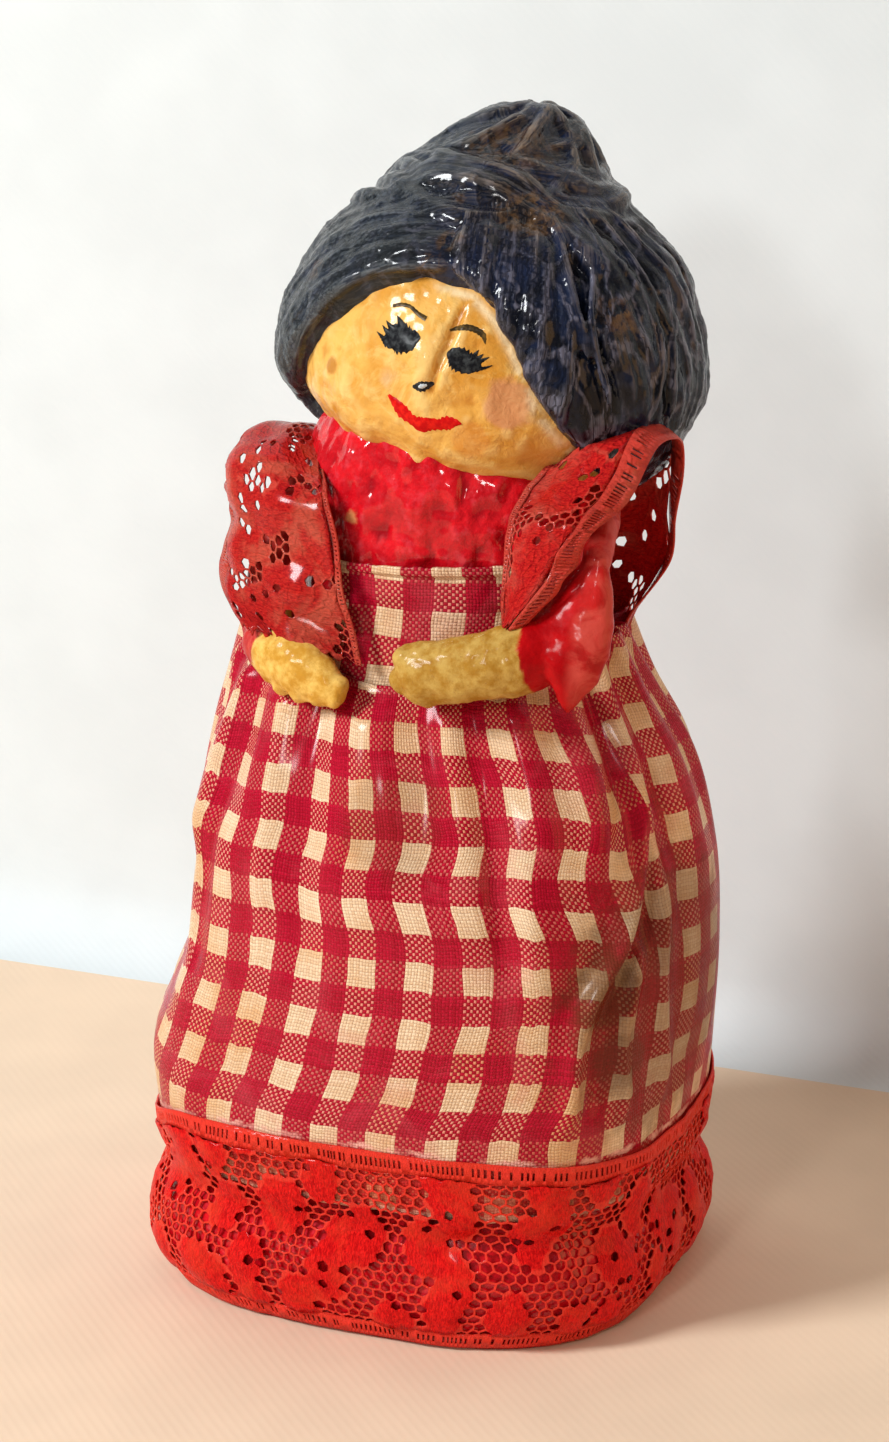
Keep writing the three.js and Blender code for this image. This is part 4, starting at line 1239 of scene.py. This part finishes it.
skirt = {
    # height, half width, half depth, squareness, lean, billow towards the figure's left
    "rings": [
        (15.5, 28.2, 25.9, 2.9, 0.1, 0.0), (23, 29.2, 26.8, 2.8, -0.4, 0.4), (30, 28.2, 26.2, 2.7, -0.4, 2.2),
        (40, 27.2, 25.2, 2.6, 0.0, 3.4), (52, 25.8, 23.6, 2.5, 0.0, 4.0), (62, 23.6, 20.8, 2.4, -0.2, 3.6),
        (69, 21.4, 17.7, 2.3, -0.5, 2.2), (76, 19.6, 15.9, 2.3, -0.4, 0.6),
    ],
    "frontTop": 71.8, "sideTop": 75.5,
    "columns": 380, "rows": 120,
    "gathers": 19, "gatherHeight": 0.75,
    # folds: (height, degrees round) along the crest, how wide, how high
    "folds": [
        ([(58, -20), (52, -24), (46, -32), (41, -41), (36, -45.5), (29, -46)], 1.4, 1.0),
        ([(60, -14), (52, -17), (46, -24), (41, -34), (36, -39), (30, -39)], 2.4, -1.3),
        ([(66, -20), (60, -18), (50, -15.5), (42, -17), (36, -16), (29, -12)], 1.2, 0.9),
        ([(60, -9), (50, -8), (42, -10), (34, -8), (29, -5)], 2.2, -0.8),
        ([(44, -25), (39, -28.5), (34, -31), (29, -27)], 1.0, 0.9),
        ([(74, -22), (66, -24), (60, -29), (50, -37), (40, -50)], 2.0, -0.7),
        ([(72, -62), (64, -63), (54, -60), (44, -58)], 1.6, 0.55),
        ([(72, -70), (64, -69), (54, -66), (44, -64)], 1.5, -0.6),
        ([(72, -104), (64, -103), (54, -101), (44, -99)], 1.9, -0.5),
        ([(72, -112), (62, -112), (50, -110)], 1.6, 0.5),
        ([(75, -136), (66, -134), (54, -133), (40, -132)], 2.0, -0.7),
        ([(75, -146), (66, -145), (54, -143)], 1.8, 0.7),
        ([(50, -156), (44, -157), (39, -158)], 9.0, -1.2),
        ([(30, -158), (27, -158)], 8.0, 1.3),
        ([(75, 20), (60, 26), (44, 24), (30, 28)], 2.6, -0.9),
        ([(75, 62), (60, 58), (44, 63), (30, 60)], 2.4, 0.8),
        ([(75, 104), (60, 108), (44, 103)], 2.6, -0.8),
        ([(75, 150), (60, 146), (44, 152), (30, 150)], 2.4, 0.8),
    ],
}


hem = {
    "low": 0.5, "top": 21.5, "frontRise": 1.5, "leftDip": 2.4, "wave": 0.4,
    "length": 186.0, "width": 21.6,
}


def hemTop(angles):
    dip = hem["leftDip"] * smooth((-np.cos(angles + 0.3) - 0.25) / 0.6)
    return hem["top"] + hem["frontRise"] * smooth(-np.sin(angles)) + hem["wave"] * np.sin(3 * angles) - dip


def skirtTop(angles):
    share = np.maximum(np.cos(angles) ** 2, smooth(np.sin(angles) + 0.4))
    return skirt["frontTop"] + (skirt["sideTop"] - skirt["frontTop"]) * share


def skirtPoint(angles, heights, grow):
    rings = throughKeys(skirt["rings"], heights)[:, 1:]
    rise = smooth((heights - 28) / (skirt["frontTop"] - 28))
    held = smooth((heights - 17) / 12)
    pleats = np.cos(skirt["gathers"] * angles + 1.3 * np.sin(2 * angles + 0.6) + 0.8 * np.sin(5 * angles))
    out = skirt["gatherHeight"] * rise**2 * pleats
    out += 0.35 * held * np.cos(8 * angles + math.radians(0.25) * (heights - 45))
    for line, width, high in skirt["folds"]:
        line = sorted(line)
        middle = throughKeys(line, heights)[:, 1] if len(line) > 1 else 0
        away = np.degrees(angles) - middle
        away = (away + 180) % 360 - 180
        reach = smooth((heights - line[0][0] + 5) / 6) * smooth((line[-1][0] + 5 - heights) / 6)
        out += high * reach * np.exp(-((np.radians(away) * 26 / width) ** 2))
    spot = np.column_stack([np.cos(angles) * 26, np.sin(angles) * 26, heights * 0.45])
    out += (0.35 + 0.25 * rise) * lumps(spot, 6.0, 51) * held
    x, y = ovalRing(rings[:, :4], angles, grow + out)
    billow = rings[:, 4] * smooth((np.cos(angles) + 0.6) / 1.6)
    return np.column_stack([x + billow, y, heights])


def buildSkirt():
    columns, rows = skirt["columns"], skirt["rows"]
    angles = np.linspace(0, 2 * math.pi, columns, endpoint=False) + math.pi / 2  # the seam is at the back
    low = skirt["rings"][0][0] + 0.5
    level, a = [grid.ravel() for grid in np.meshgrid(np.linspace(0, 1, rows), angles, indexing="ij")]
    ragged = 0.25 * lumps(np.column_stack([np.cos(a) * 30, np.sin(a) * 30, a * 0]), 0.9, 4)
    top = skirtTop(a) + 0.5 * lumps(np.column_stack([np.cos(a) * 20, np.sin(a) * 20, a * 0]), 4.0, 14) * 0.6
    z = low + ragged * (1 - level) + (top - low) * level
    points = skirtPoint(a, z, cotton["thick"] * 0.5 + 0.3)
    # the front's top edge is stuck down
    tucked = smooth((level - 0.93) / 0.07) * smooth((-np.sin(a) - 0.25) / 0.4) * 0.75
    points += (torsoPoint(a, z, 1.6) - points) * tucked[:, None]
    grid = points.reshape(rows, columns, 3)
    step = np.linalg.norm(np.roll(grid, -1, 1) - grid, axis=2)
    arc = np.concatenate([np.zeros((rows, 1)), np.cumsum(step, 1)[:, :-1]], 1)
    pairs = cotton["columnsRound"] * 2
    across = arc / step.sum(1)[:, None] * pairs + cotton["phase"]
    rise = np.concatenate(
        [np.zeros((1, columns)), np.cumsum(np.linalg.norm(np.diff(grid, axis=0), axis=2), 0)]
    )
    along = rise / cotton["check"]
    piece = newPiece("checkedSkirt", points, gridFaces(rows, columns, True), gingham("skirtCotton", 0.5, 1.0))
    storeCloth(piece.data, across.ravel(), along.ravel())
    splitSeam(piece.data, pairs)
    wall = piece.modifiers.new("cloth", "SOLIDIFY")
    wall.thickness, wall.offset = cotton["thick"] * mm, -1
    bake(piece)
    points = pointsOf(piece.data)
    storeValue(piece.data, "aboveLace", points[:, 2] - hemTop(np.arctan2(points[:, 1], points[:, 0])))
    return piece


bib = {
    "middle": -74.0, "half": 40.0,  # degrees round the chest
    "low": 71.2, "high": 84.6,
    "hem": 1.1,
}


def buildBib():
    rows, columns = 70, 110
    level, side = [
        g.ravel() for g in np.meshgrid(np.linspace(0, 1, rows), np.linspace(-1, 1, columns), indexing="ij")
    ]
    z = bib["low"] + (bib["high"] - bib["low"]) * level
    ragged = lumps(np.column_stack([side * 20, z, z * 0]), 1.5, 3)
    z = z + 0.35 * np.sin(side * 2.2 + 0.5) * level + 0.12 * ragged * (level > 0.97)
    a = np.radians(bib["middle"] + bib["half"] * side)
    folded = smooth((level * (bib["high"] - bib["low"]) - (bib["high"] - bib["low"] - bib["hem"])) / 0.25)
    grow = 0.95 + 0.45 * folded + 0.30 * roughness(np.column_stack([side * 11, z, z * 0]), 3.2, 8)
    points = torsoPoint(a, z, 0.0)
    out = np.column_stack([np.cos(a), np.sin(a), a * 0])
    points += out * grow[:, None]
    piece = newPiece("checkedBib", points, gridFaces(rows, columns, False), gingham("bibCotton", 0.6, 0.0))
    grid = points.reshape(rows, columns, 3)
    across = np.concatenate(
        [np.zeros((rows, 1)), np.cumsum(np.linalg.norm(np.diff(grid, axis=1), axis=2), 1)], 1
    )
    across = across / cotton["check"]
    along = (z - bib["low"]) / cotton["check"]
    storeCloth(piece.data, across.ravel() * 0.95 + 0.55, along + 0.3)
    wall = piece.modifiers.new("cloth", "SOLIDIFY")
    wall.thickness, wall.offset = cotton["thick"] * mm, -1
    return bake(piece)


skirtPiece = buildSkirt()
bibPiece = buildBib()
print("skirt and bib:", len(skirtPiece.data.polygons) + len(bibPiece.data.polygons), "faces")


# ---------- the red lace ----------

lace = {
    "pitch": 1.30, "row": 0.96,  # a mesh of the net, across and up
    "hole": 0.84,  # how much of a mesh is open
    "petalWide": 5.0, "petalTall": 7.6, "petalShare": 0.45,
    "petalHigh": 0.42, "stray": 0.08,  # how far a petal stands up, and the share of small holes in it
    "jitter": 0.12,  # how far the knots of the net wander
    "ladderPitch": 0.56, "ladderHole": 0.44,
    "thick": 0.22,
}


def laceTree():
    # flat lace in the plane: a net of six-sided meshes with close-worked petals, and a ladder along each edge
    tree = bpy.data.node_groups.new("redLace", "GeometryNodeTree")
    tree.interface.new_socket("Lace", in_out="OUTPUT", socket_type="NodeSocketGeometry")
    for name, kind, start in (
        ("Length", "Float", 0.1), ("Net Height", "Float", 0.016), ("Mesh Pitch", "Float", 0.0013),
        ("Mesh Row", "Float", 0.001), ("Hole", "Float", 0.8), ("Petal Wide", "Float", 0.005),
        ("Petal Tall", "Float", 0.0076), ("Petal Share", "Float", 0.5), ("Petal High", "Float", 0.0003),
        ("Stray Holes", "Float", 0.03), ("Jitter", "Float", 0.0001), ("Ladder Pitch", "Float", 0.0006),
        ("Low Ladder", "Float", 0.0017), ("High Ladder", "Float", 0.0022), ("Ladder Hole", "Float", 0.62),
        ("Ladder Open", "Float", 0.9), ("Seed", "Int", 1), ("Finish", "Material", None),
    ):
        socket = tree.interface.new_socket(name, in_out="INPUT", socket_type="NodeSocket" + kind)
        if start is not None:
            socket.default_value = start
    given = tree.nodes.new("NodeGroupInput").outputs

    def grid(length, height, stepAcross, stepUp):
        countAcross = add(
            tree, "FunctionNodeFloatToInt", {0: calc(tree, "DIVIDE", length, stepAcross)},
            rounding_mode="ROUND"
        ).outputs[0]
        countUp = add(
            tree, "FunctionNodeFloatToInt", {0: calc(tree, "DIVIDE", height, stepUp)}, rounding_mode="ROUND"
        ).outputs[0]
        countAcross = calc(tree, "ADD", countAcross, 1.0)
        countUp = calc(tree, "ADD", countUp, 1.0)
        made = add(
            tree, "GeometryNodeMeshGrid",
            {"Size X": length, "Size Y": height, "Vertices X": countAcross, "Vertices Y": countUp}
        ).outputs[0]
        shift = add(
            tree, "ShaderNodeCombineXYZ", {0: times(tree, length, 0.5), 1: times(tree, height, 0.5)}
        ).outputs[0]
        return add(tree, "GeometryNodeSetPosition", {"Geometry": made, "Offset": shift}).outputs[0]

    def open_(mesh, which, share):
        # cuts a hole in each chosen face and leaves its rim as thread
        cut = add(
            tree, "GeometryNodeExtrudeMesh",
            {"Mesh": mesh, "Selection": which, "Offset Scale": 0.0, "Individual": True}, mode="FACES"
        )
        drawn = add(
            tree, "GeometryNodeScaleElements",
            {"Geometry": cut.outputs["Mesh"], "Selection": cut.outputs["Top"], "Scale": share}, domain="FACE"
        ).outputs[0]
        return add(
            tree, "GeometryNodeDeleteGeometry", {"Geometry": drawn, "Selection": cut.outputs["Top"]},
            domain="FACE", mode="ALL"
        ).outputs[0]

    def chance(share, shift):
        seed = calc(tree, "ADD", given["Seed"], float(shift))
        return add(
            tree, "FunctionNodeRandomValue", {"Probability": share, "Seed": seed}, data_type="BOOLEAN"
        ).outputs[3]

    place = add(tree, "GeometryNodeInputPosition", {}).outputs[0]
    net = grid(given["Length"], given["Net Height"], given["Mesh Pitch"], given["Mesh Row"])
    split = add(tree, "ShaderNodeSeparateXYZ", {0: place})
    rowNumber = calc(tree, "ROUND", calc(tree, "DIVIDE", split.outputs[1], given["Mesh Row"]))
    odd = calc(tree, "FLOORED_MODULO", rowNumber, 2.0)
    stagger = add(
        tree, "ShaderNodeCombineXYZ", {0: times(tree, times(tree, odd, 0.5), given["Mesh Pitch"])}
    ).outputs[0]
    net = add(tree, "GeometryNodeSetPosition", {"Geometry": net, "Offset": stagger}).outputs[0]
    net = add(tree, "GeometryNodeTriangulate", {"Mesh": net}, quad_method="SHORTEST_DIAGONAL").outputs[0]
    net = add(tree, "GeometryNodeDualMesh", {"Mesh": net, "Keep Boundaries": True}).outputs[0]
    spread = add(
        tree, "FunctionNodeRandomValue", {"Min": (-1, -1, 0), "Max": (1, 1, 0), "Seed": given["Seed"]},
        data_type="FLOAT_VECTOR"
    ).outputs[0]
    spread = add(
        tree, "ShaderNodeVectorMath", {0: spread, "Scale": given["Jitter"]}, operation="SCALE"
    ).outputs[0]
    net = add(tree, "GeometryNodeSetPosition", {"Geometry": net, "Offset": spread}).outputs[0]
    # the petals: tall rounded cells that crowd together, with net left between them
    across = calc(
        tree, "ADD", calc(tree, "DIVIDE", split.outputs[0], given["Petal Wide"]),
        times(tree, given["Seed"], 3.7)
    )
    scaled = add(
        tree, "ShaderNodeCombineXYZ",
        {0: across, 1: calc(tree, "DIVIDE", split.outputs[1], given["Petal Tall"])}
    ).outputs[0]
    petals = add(
        tree, "ShaderNodeTexVoronoi", {"Vector": scaled, "Scale": 1.0, "Randomness": 0.9},
        voronoi_dimensions="2D", feature="F1"
    ).outputs["Distance"]
    ripple = add(tree, "ShaderNodeTexNoise", {"Vector": scaled, "Scale": 2.4, "Detail": 2.0}).outputs[0]
    field = calc(tree, "ADD", petals, calc(tree, "MULTIPLY_ADD", ripple, 0.26, -0.13))
    isNet = add(
        tree, "FunctionNodeCompare", {0: field, 1: given["Petal Share"]}, data_type="FLOAT",
        operation="GREATER_THAN"
    ).outputs[0]
    isOpen = add(
        tree, "FunctionNodeBooleanMath", {0: isNet, 1: chance(given["Stray Holes"], 11)}, operation="OR"
    ).outputs[0]
    held = add(tree, "GeometryNodeCaptureAttribute", {"Geometry": net}, domain="FACE")
    held.capture_items.new("BOOLEAN", "open")
    tree.links.new(isOpen, held.inputs[1])
    net = open_(held.outputs[0], held.outputs[1], given["Hole"])
    stood = calc(
        tree, "POWER", calc(tree, "MAXIMUM", calc(tree, "SUBTRACT", given["Petal Share"], field), 0.0), 0.6
    )
    lift = add(
        tree, "ShaderNodeCombineXYZ",
        {1: given["Low Ladder"], 2: times(tree, times(tree, stood, 1.6), given["Petal High"])}
    ).outputs[0]
    net = add(tree, "GeometryNodeSetPosition", {"Geometry": net, "Offset": lift}).outputs[0]
    low = open_(
        grid(given["Length"], given["Low Ladder"], given["Ladder Pitch"], given["Low Ladder"]),
        chance(given["Ladder Open"], 5), given["Ladder Hole"]
    )
    high = open_(
        grid(given["Length"], given["High Ladder"], given["Ladder Pitch"], given["High Ladder"]),
        chance(given["Ladder Open"], 6), given["Ladder Hole"]
    )
    highPlace = add(
        tree, "ShaderNodeCombineXYZ", {1: calc(tree, "ADD", given["Low Ladder"], given["Net Height"])}
    ).outputs[0]
    high = add(tree, "GeometryNodeSetPosition", {"Geometry": high, "Offset": highPlace}).outputs[0]
    join = tree.nodes.new("GeometryNodeJoinGeometry")
    for part in (high, low, net):
        tree.links.new(part, join.inputs[0])
    whole = add(tree, "GeometryNodeRealizeInstances", {"Geometry": join.outputs[0]}).outputs[0]
    whole = add(tree, "GeometryNodeSetMaterial", {"Geometry": whole, "Material": given["Finish"]}).outputs[0]
    tree.links.new(whole, tree.nodes.new("NodeGroupOutput").inputs[0])
    return tree


laceNodes = laceTree()


def flatLace(name, length, width, finish, seed, lowLadder, highLadder, ladderOpen, petalShare, pitch):
    # a strip of lace as cut, with its length along X and its width along Y, in millimetres
    piece = newPiece(name, [(0, 0, 0), (1, 0, 0), (0, 1, 0)], [(0, 1, 2)], None)
    strip = piece.modifiers.new("lace", "NODES")
    strip.node_group = laceNodes
    chosen = {
        "Length": length * mm, "Net Height": (width - lowLadder - highLadder) * mm,
        "Mesh Pitch": lace["pitch"] * mm, "Mesh Row": lace["row"] * mm, "Hole": lace["hole"],
        "Petal Wide": lace["petalWide"] * mm, "Petal Tall": lace["petalTall"] * mm,
        "Petal Share": petalShare, "Petal High": lace["petalHigh"] * mm,
        "Stray Holes": lace["stray"], "Jitter": lace["jitter"] * mm,
        "Ladder Pitch": pitch * mm, "Ladder Hole": lace["ladderHole"], "Ladder Open": ladderOpen,
        "Low Ladder": lowLadder * mm, "High Ladder": highLadder * mm,
        "Seed": seed, "Finish": finish,
    }
    for socket in laceNodes.interface.items_tree:
        if socket.in_out == "INPUT":
            strip[socket.identifier] = chosen[socket.name]
    bake(piece)
    return piece


def wrapLace(piece, surface):
    # lays the flat strip on a surface; what stood up in the flat stands out of the surface
    flat = pointsOf(piece.data)
    u, v, high = flat.T
    place = surface(u, v)
    small = 0.05
    normal = np.cross(surface(u + small, v) - place, surface(u, v + small) - place)
    normal /= np.linalg.norm(normal, axis=1)[:, None] + 1e-12
    movePoints(piece.data, place + normal * high[:, None])
    storeVector(piece.data, "flatLace", flat)
    wall = piece.modifiers.new("thread", "SOLIDIFY")
    wall.thickness, wall.offset = lace["thick"] * mm, 0
    bake(piece)
    piece.data.shade_smooth()
    return piece


def laceFinish(name, colours, film, filmShare, varnish, emboss):
    # vermilion thread, fuzzy in the petals, with varnish lying in it
    material, tree, shader = newMaterial(
        name, Roughness=0.6, Coat_Weight=varnish, Coat_Roughness=0.12, Coat_IOR=1.32
    )
    where = objectPlace(tree)
    flat = storedVector(tree, "flatLace")
    knit = add(tree, "ShaderNodeMapping", {"Vector": flat, "Scale": (2.8, 0.9, 1.0)}).outputs[0]
    loops = noise(tree, knit, 1.9, 3.0, 0.7, 0.6)
    high = part(tree, flat, "Z")
    deep, bright, thread = colours
    # painted shade in the loops' hollows and a painted highlight on the loops
    paint = mixed(tree, stretch(tree, loops, 0.34, 0.64), deep, bright)
    paint = mixed(tree, stretch(tree, high, 0.07, 0.01, 0.0, 0.7), paint, thread)
    shade = noise(tree, where, 150, 4.0, 0.62, 0.6)
    paint = wash(tree, paint, stretch(tree, shade, 0.46, 0.66), filmShare, film)
    fuzz = noise(tree, where, 3000, 3.0, 0.7)
    paint = wash(tree, paint, stretch(tree, fuzz, 0.60, 0.74), 0.25, thread)
    colourBy(tree, shader, paint)
    cells = add(
        tree, "ShaderNodeTexVoronoi", {"Vector": flat, "Scale": 0.85, "Randomness": 0.95},
        voronoi_dimensions="2D", feature="DISTANCE_TO_EDGE"
    ).outputs[0]
    mesh = stretch(tree, cells, 0.02, 0.22, emboss, 0.0)
    height = calc(tree, "ADD", calc(tree, "ADD", loops, mesh), times(tree, fuzz, 0.6))
    bumps(tree, shader, height, 0.26)
    return material


def hemSurface():
    # the way round is even along the foot, and the way up runs from the floor's edge to the lace's top
    angles = np.linspace(0, 2 * math.pi, 721) + math.pi / 2
    foot = torsoPoint(angles, np.full(721, 10.0))
    arc = np.concatenate([[0], np.cumsum(np.linalg.norm(np.diff(foot, axis=0), axis=1))])
    arc *= hem["length"] / arc[-1]

    def surface(u, v):
        a = np.interp(u, arc, angles)
        level = v / hem["width"]
        z = hem["low"] + (hemTop(a) - hem["low"]) * level
        core = torsoPoint(a, np.minimum(z, 26.0), 0.45)
        over = skirtPoint(a, np.maximum(z, 15.5), 0.95)
        share = smooth((z - 12.0) / 4.5)[:, None]
        place = core * (1 - share) + over * share
        place[:, 2] = z
        out = np.column_stack([np.cos(a), np.sin(a), a * 0])
        sag = 0.30 * lumps(place, 5.0, 61) + 0.12 * lumps(place, 1.8, 66)
        return place + out * sag[:, None]

    return surface


def buildHem():
    finish = laceFinish(
        "hemLaceThread", ((0.48, 0.001, 0.003, 1), (0.90, 0.012, 0.010, 1), (0.92, 0.06, 0.035, 1)),
        (0.80, 0.05, 0.02, 1), 0.5, 0.3, 0.0
    )
    piece = flatLace(
        "laceHem", hem["length"], hem["width"], finish, 7, 1.8, 2.1, 0.80, lace["petalShare"],
        lace["ladderPitch"]
    )
    flat = pointsOf(piece.data)
    squeeze = 0.30 * lumps(np.column_stack([flat[:, 0], flat[:, 1] * 0, flat[:, 0] * 0]), 2.2, 5)
    ends = smooth(flat[:, 0] / 4) * smooth((hem["length"] - flat[:, 0]) / 4)
    flat[:, 0] += squeeze * ends
    inside = smooth(flat[:, 1] / 3) * smooth((hem["width"] - flat[:, 1]) / 2)
    flat[:, 1] += 0.25 * lumps(flat, 4.0, 8) * inside
    movePoints(piece.data, flat)
    return wrapLace(piece, hemSurface())


hemPiece = buildHem()
print("lace hem:", len(hemPiece.data.polygons), "faces")


# ---------- the lace sleeves ----------

sleeves = {
    # inner edge on the shoulder and free outer edge, from the front over the top to the back
    "left": [  # over the arm on the left as seen from the front
        ((-1.6, -17.5, 73.8), (-17.0, -14.0, 76.9)), ((-2.7, -17.2, 78.1), (-21.1, -11.0, 79.6)),
        ((-4.0, -16.8, 83.0), (-21.0, -9.6, 83.0)),
        ((-5.2, -16.0, 88.5), (-21.3, -8.0, 87.0)), ((-7.0, -14.0, 92.0), (-22.4, -6.6, 90.6)),
        ((-9.4, -9.0, 93.4), (-21.8, -4.0, 92.8)),
        ((-10.6, -1.0, 93.4), (-20.6, 0.5, 92.2)), ((-10.8, 6.0, 90.0), (-20.6, 5.0, 88.6)),
        ((-10.4, 9.0, 85.0), (-20.0, 7.6, 83.6)),
        ((-9.4, 10.2, 79.4), (-18.8, 8.6, 78.6)),
    ],
    "right": [
        ((13.8, -16.6, 78.5), (17.4, -18.6, 80.4)), ((14.0, -16.2, 84.6), (21.5, -18.6, 85.5)),
        ((13.9, -15.4, 89.4), (24.2, -17.2, 89.4)),
        ((14.6, -14.4, 92.0), (25.4, -15.0, 92.0)), ((15.6, -12.2, 94.0), (27.0, -12.0, 94.6)),
        ((16.6, -8.0, 95.6), (28.0, -7.0, 98.4)),
        ((17.0, -2.0, 95.4), (28.4, -2.6, 97.8)), ((16.6, 3.5, 92.4), (27.6, 0.6, 93.2)),
        ((16.0, 7.5, 87.0), (26.4, 2.8, 87.6)),
        ((15.2, 9.2, 81.5), (24.4, 4.4, 81.6)), ((14.4, 9.6, 76.6), (20.8, 5.6, 76.2)),
        ((13.8, 9.6, 73.4), (18.6, 6.0, 73.2)),
    ],
    "puff": 2.1,
    "ruffle": 0.45,
    "ruffles": 5,
    "crumple": 0.9,  # how far the free edge is crushed where the varnish stuck it
}


def sleeveSurface(stations, side, length, width, crushed):
    keys = np.arange(len(stations))
    inner = np.column_stack([keys, [s[0] for s in stations]])
    outer = np.column_stack([keys, [s[1] for s in stations]])
    last = len(stations) - 1

    def surface(u, v):
        along, across = np.clip(u / length, -0.02, 1.02), v / width
        at = along * last
        a, b = throughKeys(inner, at)[:, 1:], throughKeys(outer, at)[:, 1:]
        ahead = throughKeys(inner, at + 0.02)[:, 1:] - throughKeys(inner, at - 0.02)[:, 1:]
        ahead /= np.linalg.norm(ahead, axis=1)[:, None] + 1e-9
        normal = np.cross(ahead, b - a) * -side
        normal /= np.linalg.norm(normal, axis=1)[:, None] + 1e-9
        place = a + (b - a) * across[:, None]
        flat = np.column_stack([u, v, v * 0])
        rise = sleeves["puff"] * smooth(across / 0.45) * (1 - np.clip((across - 0.72) / 0.28, 0, 1) ** 1.5)
        rise = rise + sleeves["ruffle"] * np.cos(2 * math.pi * sleeves["ruffles"] * along) * across
        rise = rise + 0.40 * lumps(flat, 5.0, 70 + side) + 0.18 * lumps(flat, 2.0, 75 + side)
        free = smooth((across - 0.68) / 0.32)
        crush = free * np.exp(-(((along - crushed) / 0.10) ** 2)) * sleeves["crumple"]
        rise = rise + crush * lumps(flat, 1.7, 90)
        back = crush * (0.9 + lumps(flat, 2.3, 93))
        step = (b - a) / np.linalg.norm(b - a, axis=1)[:, None]
        return place + normal * rise[:, None] - step * back[:, None]

    return surface


def buildSleeve(name, stations, side, length, width, seed, petalShare, crushed, finish):
    piece = flatLace(name, length, width, finish, seed, 0.8, 2.3, 0.85, petalShare, 0.42)
    return wrapLace(piece, sleeveSurface(stations, side, length, width, crushed))


# thread colours: in the loops' hollows as painted shade, on the loops as a painted highlight, and in the net
leftThread = (0.36, 0.003, 0.006, 1), (0.60, 0.020, 0.014, 1), (0.62, 0.07, 0.045, 1)
rightThread = (0.40, 0.002, 0.006, 1), (0.66, 0.020, 0.014, 1), (0.66, 0.07, 0.045, 1)
leftFinish = laceFinish("leftSleeveLace", leftThread, (0.62, 0.16, 0.09, 1), 0.40, 0.55, 0.5)
rightFinish = laceFinish("rightSleeveLace", rightThread, (0.60, 0.13, 0.09, 1), 0.40, 0.55, 0.5)
leftSleevePiece = buildSleeve("puffSleeveLeft", sleeves["left"], -1, 48.0, 18.0, 3, 0.66, 0.42, leftFinish)
rightSleevePiece = buildSleeve("puffSleeveRight", sleeves["right"], 1, 56.0, 12.0, 9, 0.60, 0.15, rightFinish)
print("sleeves:", len(rightSleevePiece.data.polygons) + len(leftSleevePiece.data.polygons), "faces")


# ---------- floor and backdrop ----------

def plainFinish(name, colour, rough, oneSided=False):
    material, tree, shader = newMaterial(name, Roughness=rough, Specular_IOR_Level=0.2)
    where = objectPlace(tree)
    weave = noise(tree, where, 60, 2.0)
    light = [min(1.0, c * 1.05) for c in colour[:3]] + [1]
    colourBy(tree, shader, mixed(tree, stretch(tree, weave, 0.3, 0.7), colour, light))
    threads = add(
        tree, "ShaderNodeTexWave", {"Vector": where, "Scale": 420.0, "Distortion": 0.4},
        bands_direction="DIAGONAL"
    ).outputs[1]
    bumps(tree, shader, threads, 0.010)
    if oneSided:  # from behind, the card lets the view through
        clear = tree.nodes.new("ShaderNodeBsdfTransparent")
        both = add(
            tree, "ShaderNodeMixShader", {0: add(tree, "ShaderNodeNewGeometry", {}).outputs["Backfacing"]}
        )
        tree.links.new(shader.outputs[0], both.inputs[1])
        tree.links.new(clear.outputs[0], both.inputs[2])
        tree.links.new(both.outputs[0], tree.nodes["Material Output"].inputs[0])
    return material


def buildStage():
    reach = studio["floorReach"]
    corners = [(-reach, -reach, 0), (reach, -reach, 0), (reach, reach, 0), (-reach, reach, 0)]
    floor = newPiece("floor", corners, [(0, 1, 2, 3)], plainFinish("palestFloor", studio["floorColour"], 0.8))
    rows = []
    for step in range(13):  # a card that curves up from the floor
        bend = min(step / 8, 1) * math.pi / 2
        out = studio["wallBack"] + studio["wallBend"] * math.sin(bend)
        high = 0.05 + studio["wallBend"] * (1 - math.cos(bend)) + max(0, step - 8) * 160
        rows += [(side * studio["wallReach"], out, high) for side in (-1, 1)]
    wall = newPiece(
        "backdrop", rows, gridFaces(13, 2, False), plainFinish("whiteWall", studio["wallColour"], 0.9, True)
    )


buildStage()
world = bpy.data.worlds.new("daylight")
world.use_nodes = True
sky = world.node_tree.nodes["Background"]
sky.inputs["Color"].default_value = (0.93, 0.96, 1.0, 1.0)
sky.inputs["Strength"].default_value = studio["daylight"]
scene.world = world
scene.view_settings.view_transform = "Standard"
print("floor and backdrop placed")


# ---------- riding and standing in ---------------------

# piece, the solids that it stands for, and its material slot
standIns = [
    (torsoPiece, ["body"], "painted_core"),
    (headPiece, ["body"], "painted_core"),
    *[(piece, [], "painted_core") for piece in strokePieces],
    (hairPiece, ["hair"], "painted_hair"),
    (leftArmPiece, ["left_arm"], "painted_skin"),
    (rightArmPiece, ["right_arm"], "painted_skin"),
    (skirtPiece, ["skirt"], "gingham"),
    (bibPiece, ["bib"], "gingham"),
    (hemPiece, ["hem_lace"], "hem_lace"),
    (leftSleevePiece, ["left_sleeve"], "frill_lace"),
    (rightSleevePiece, ["right_sleeve"], "frill_lace"),
]
for piece, nodes, finish in standIns:
    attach(piece, "root")
    for node in nodes:
        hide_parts(node)
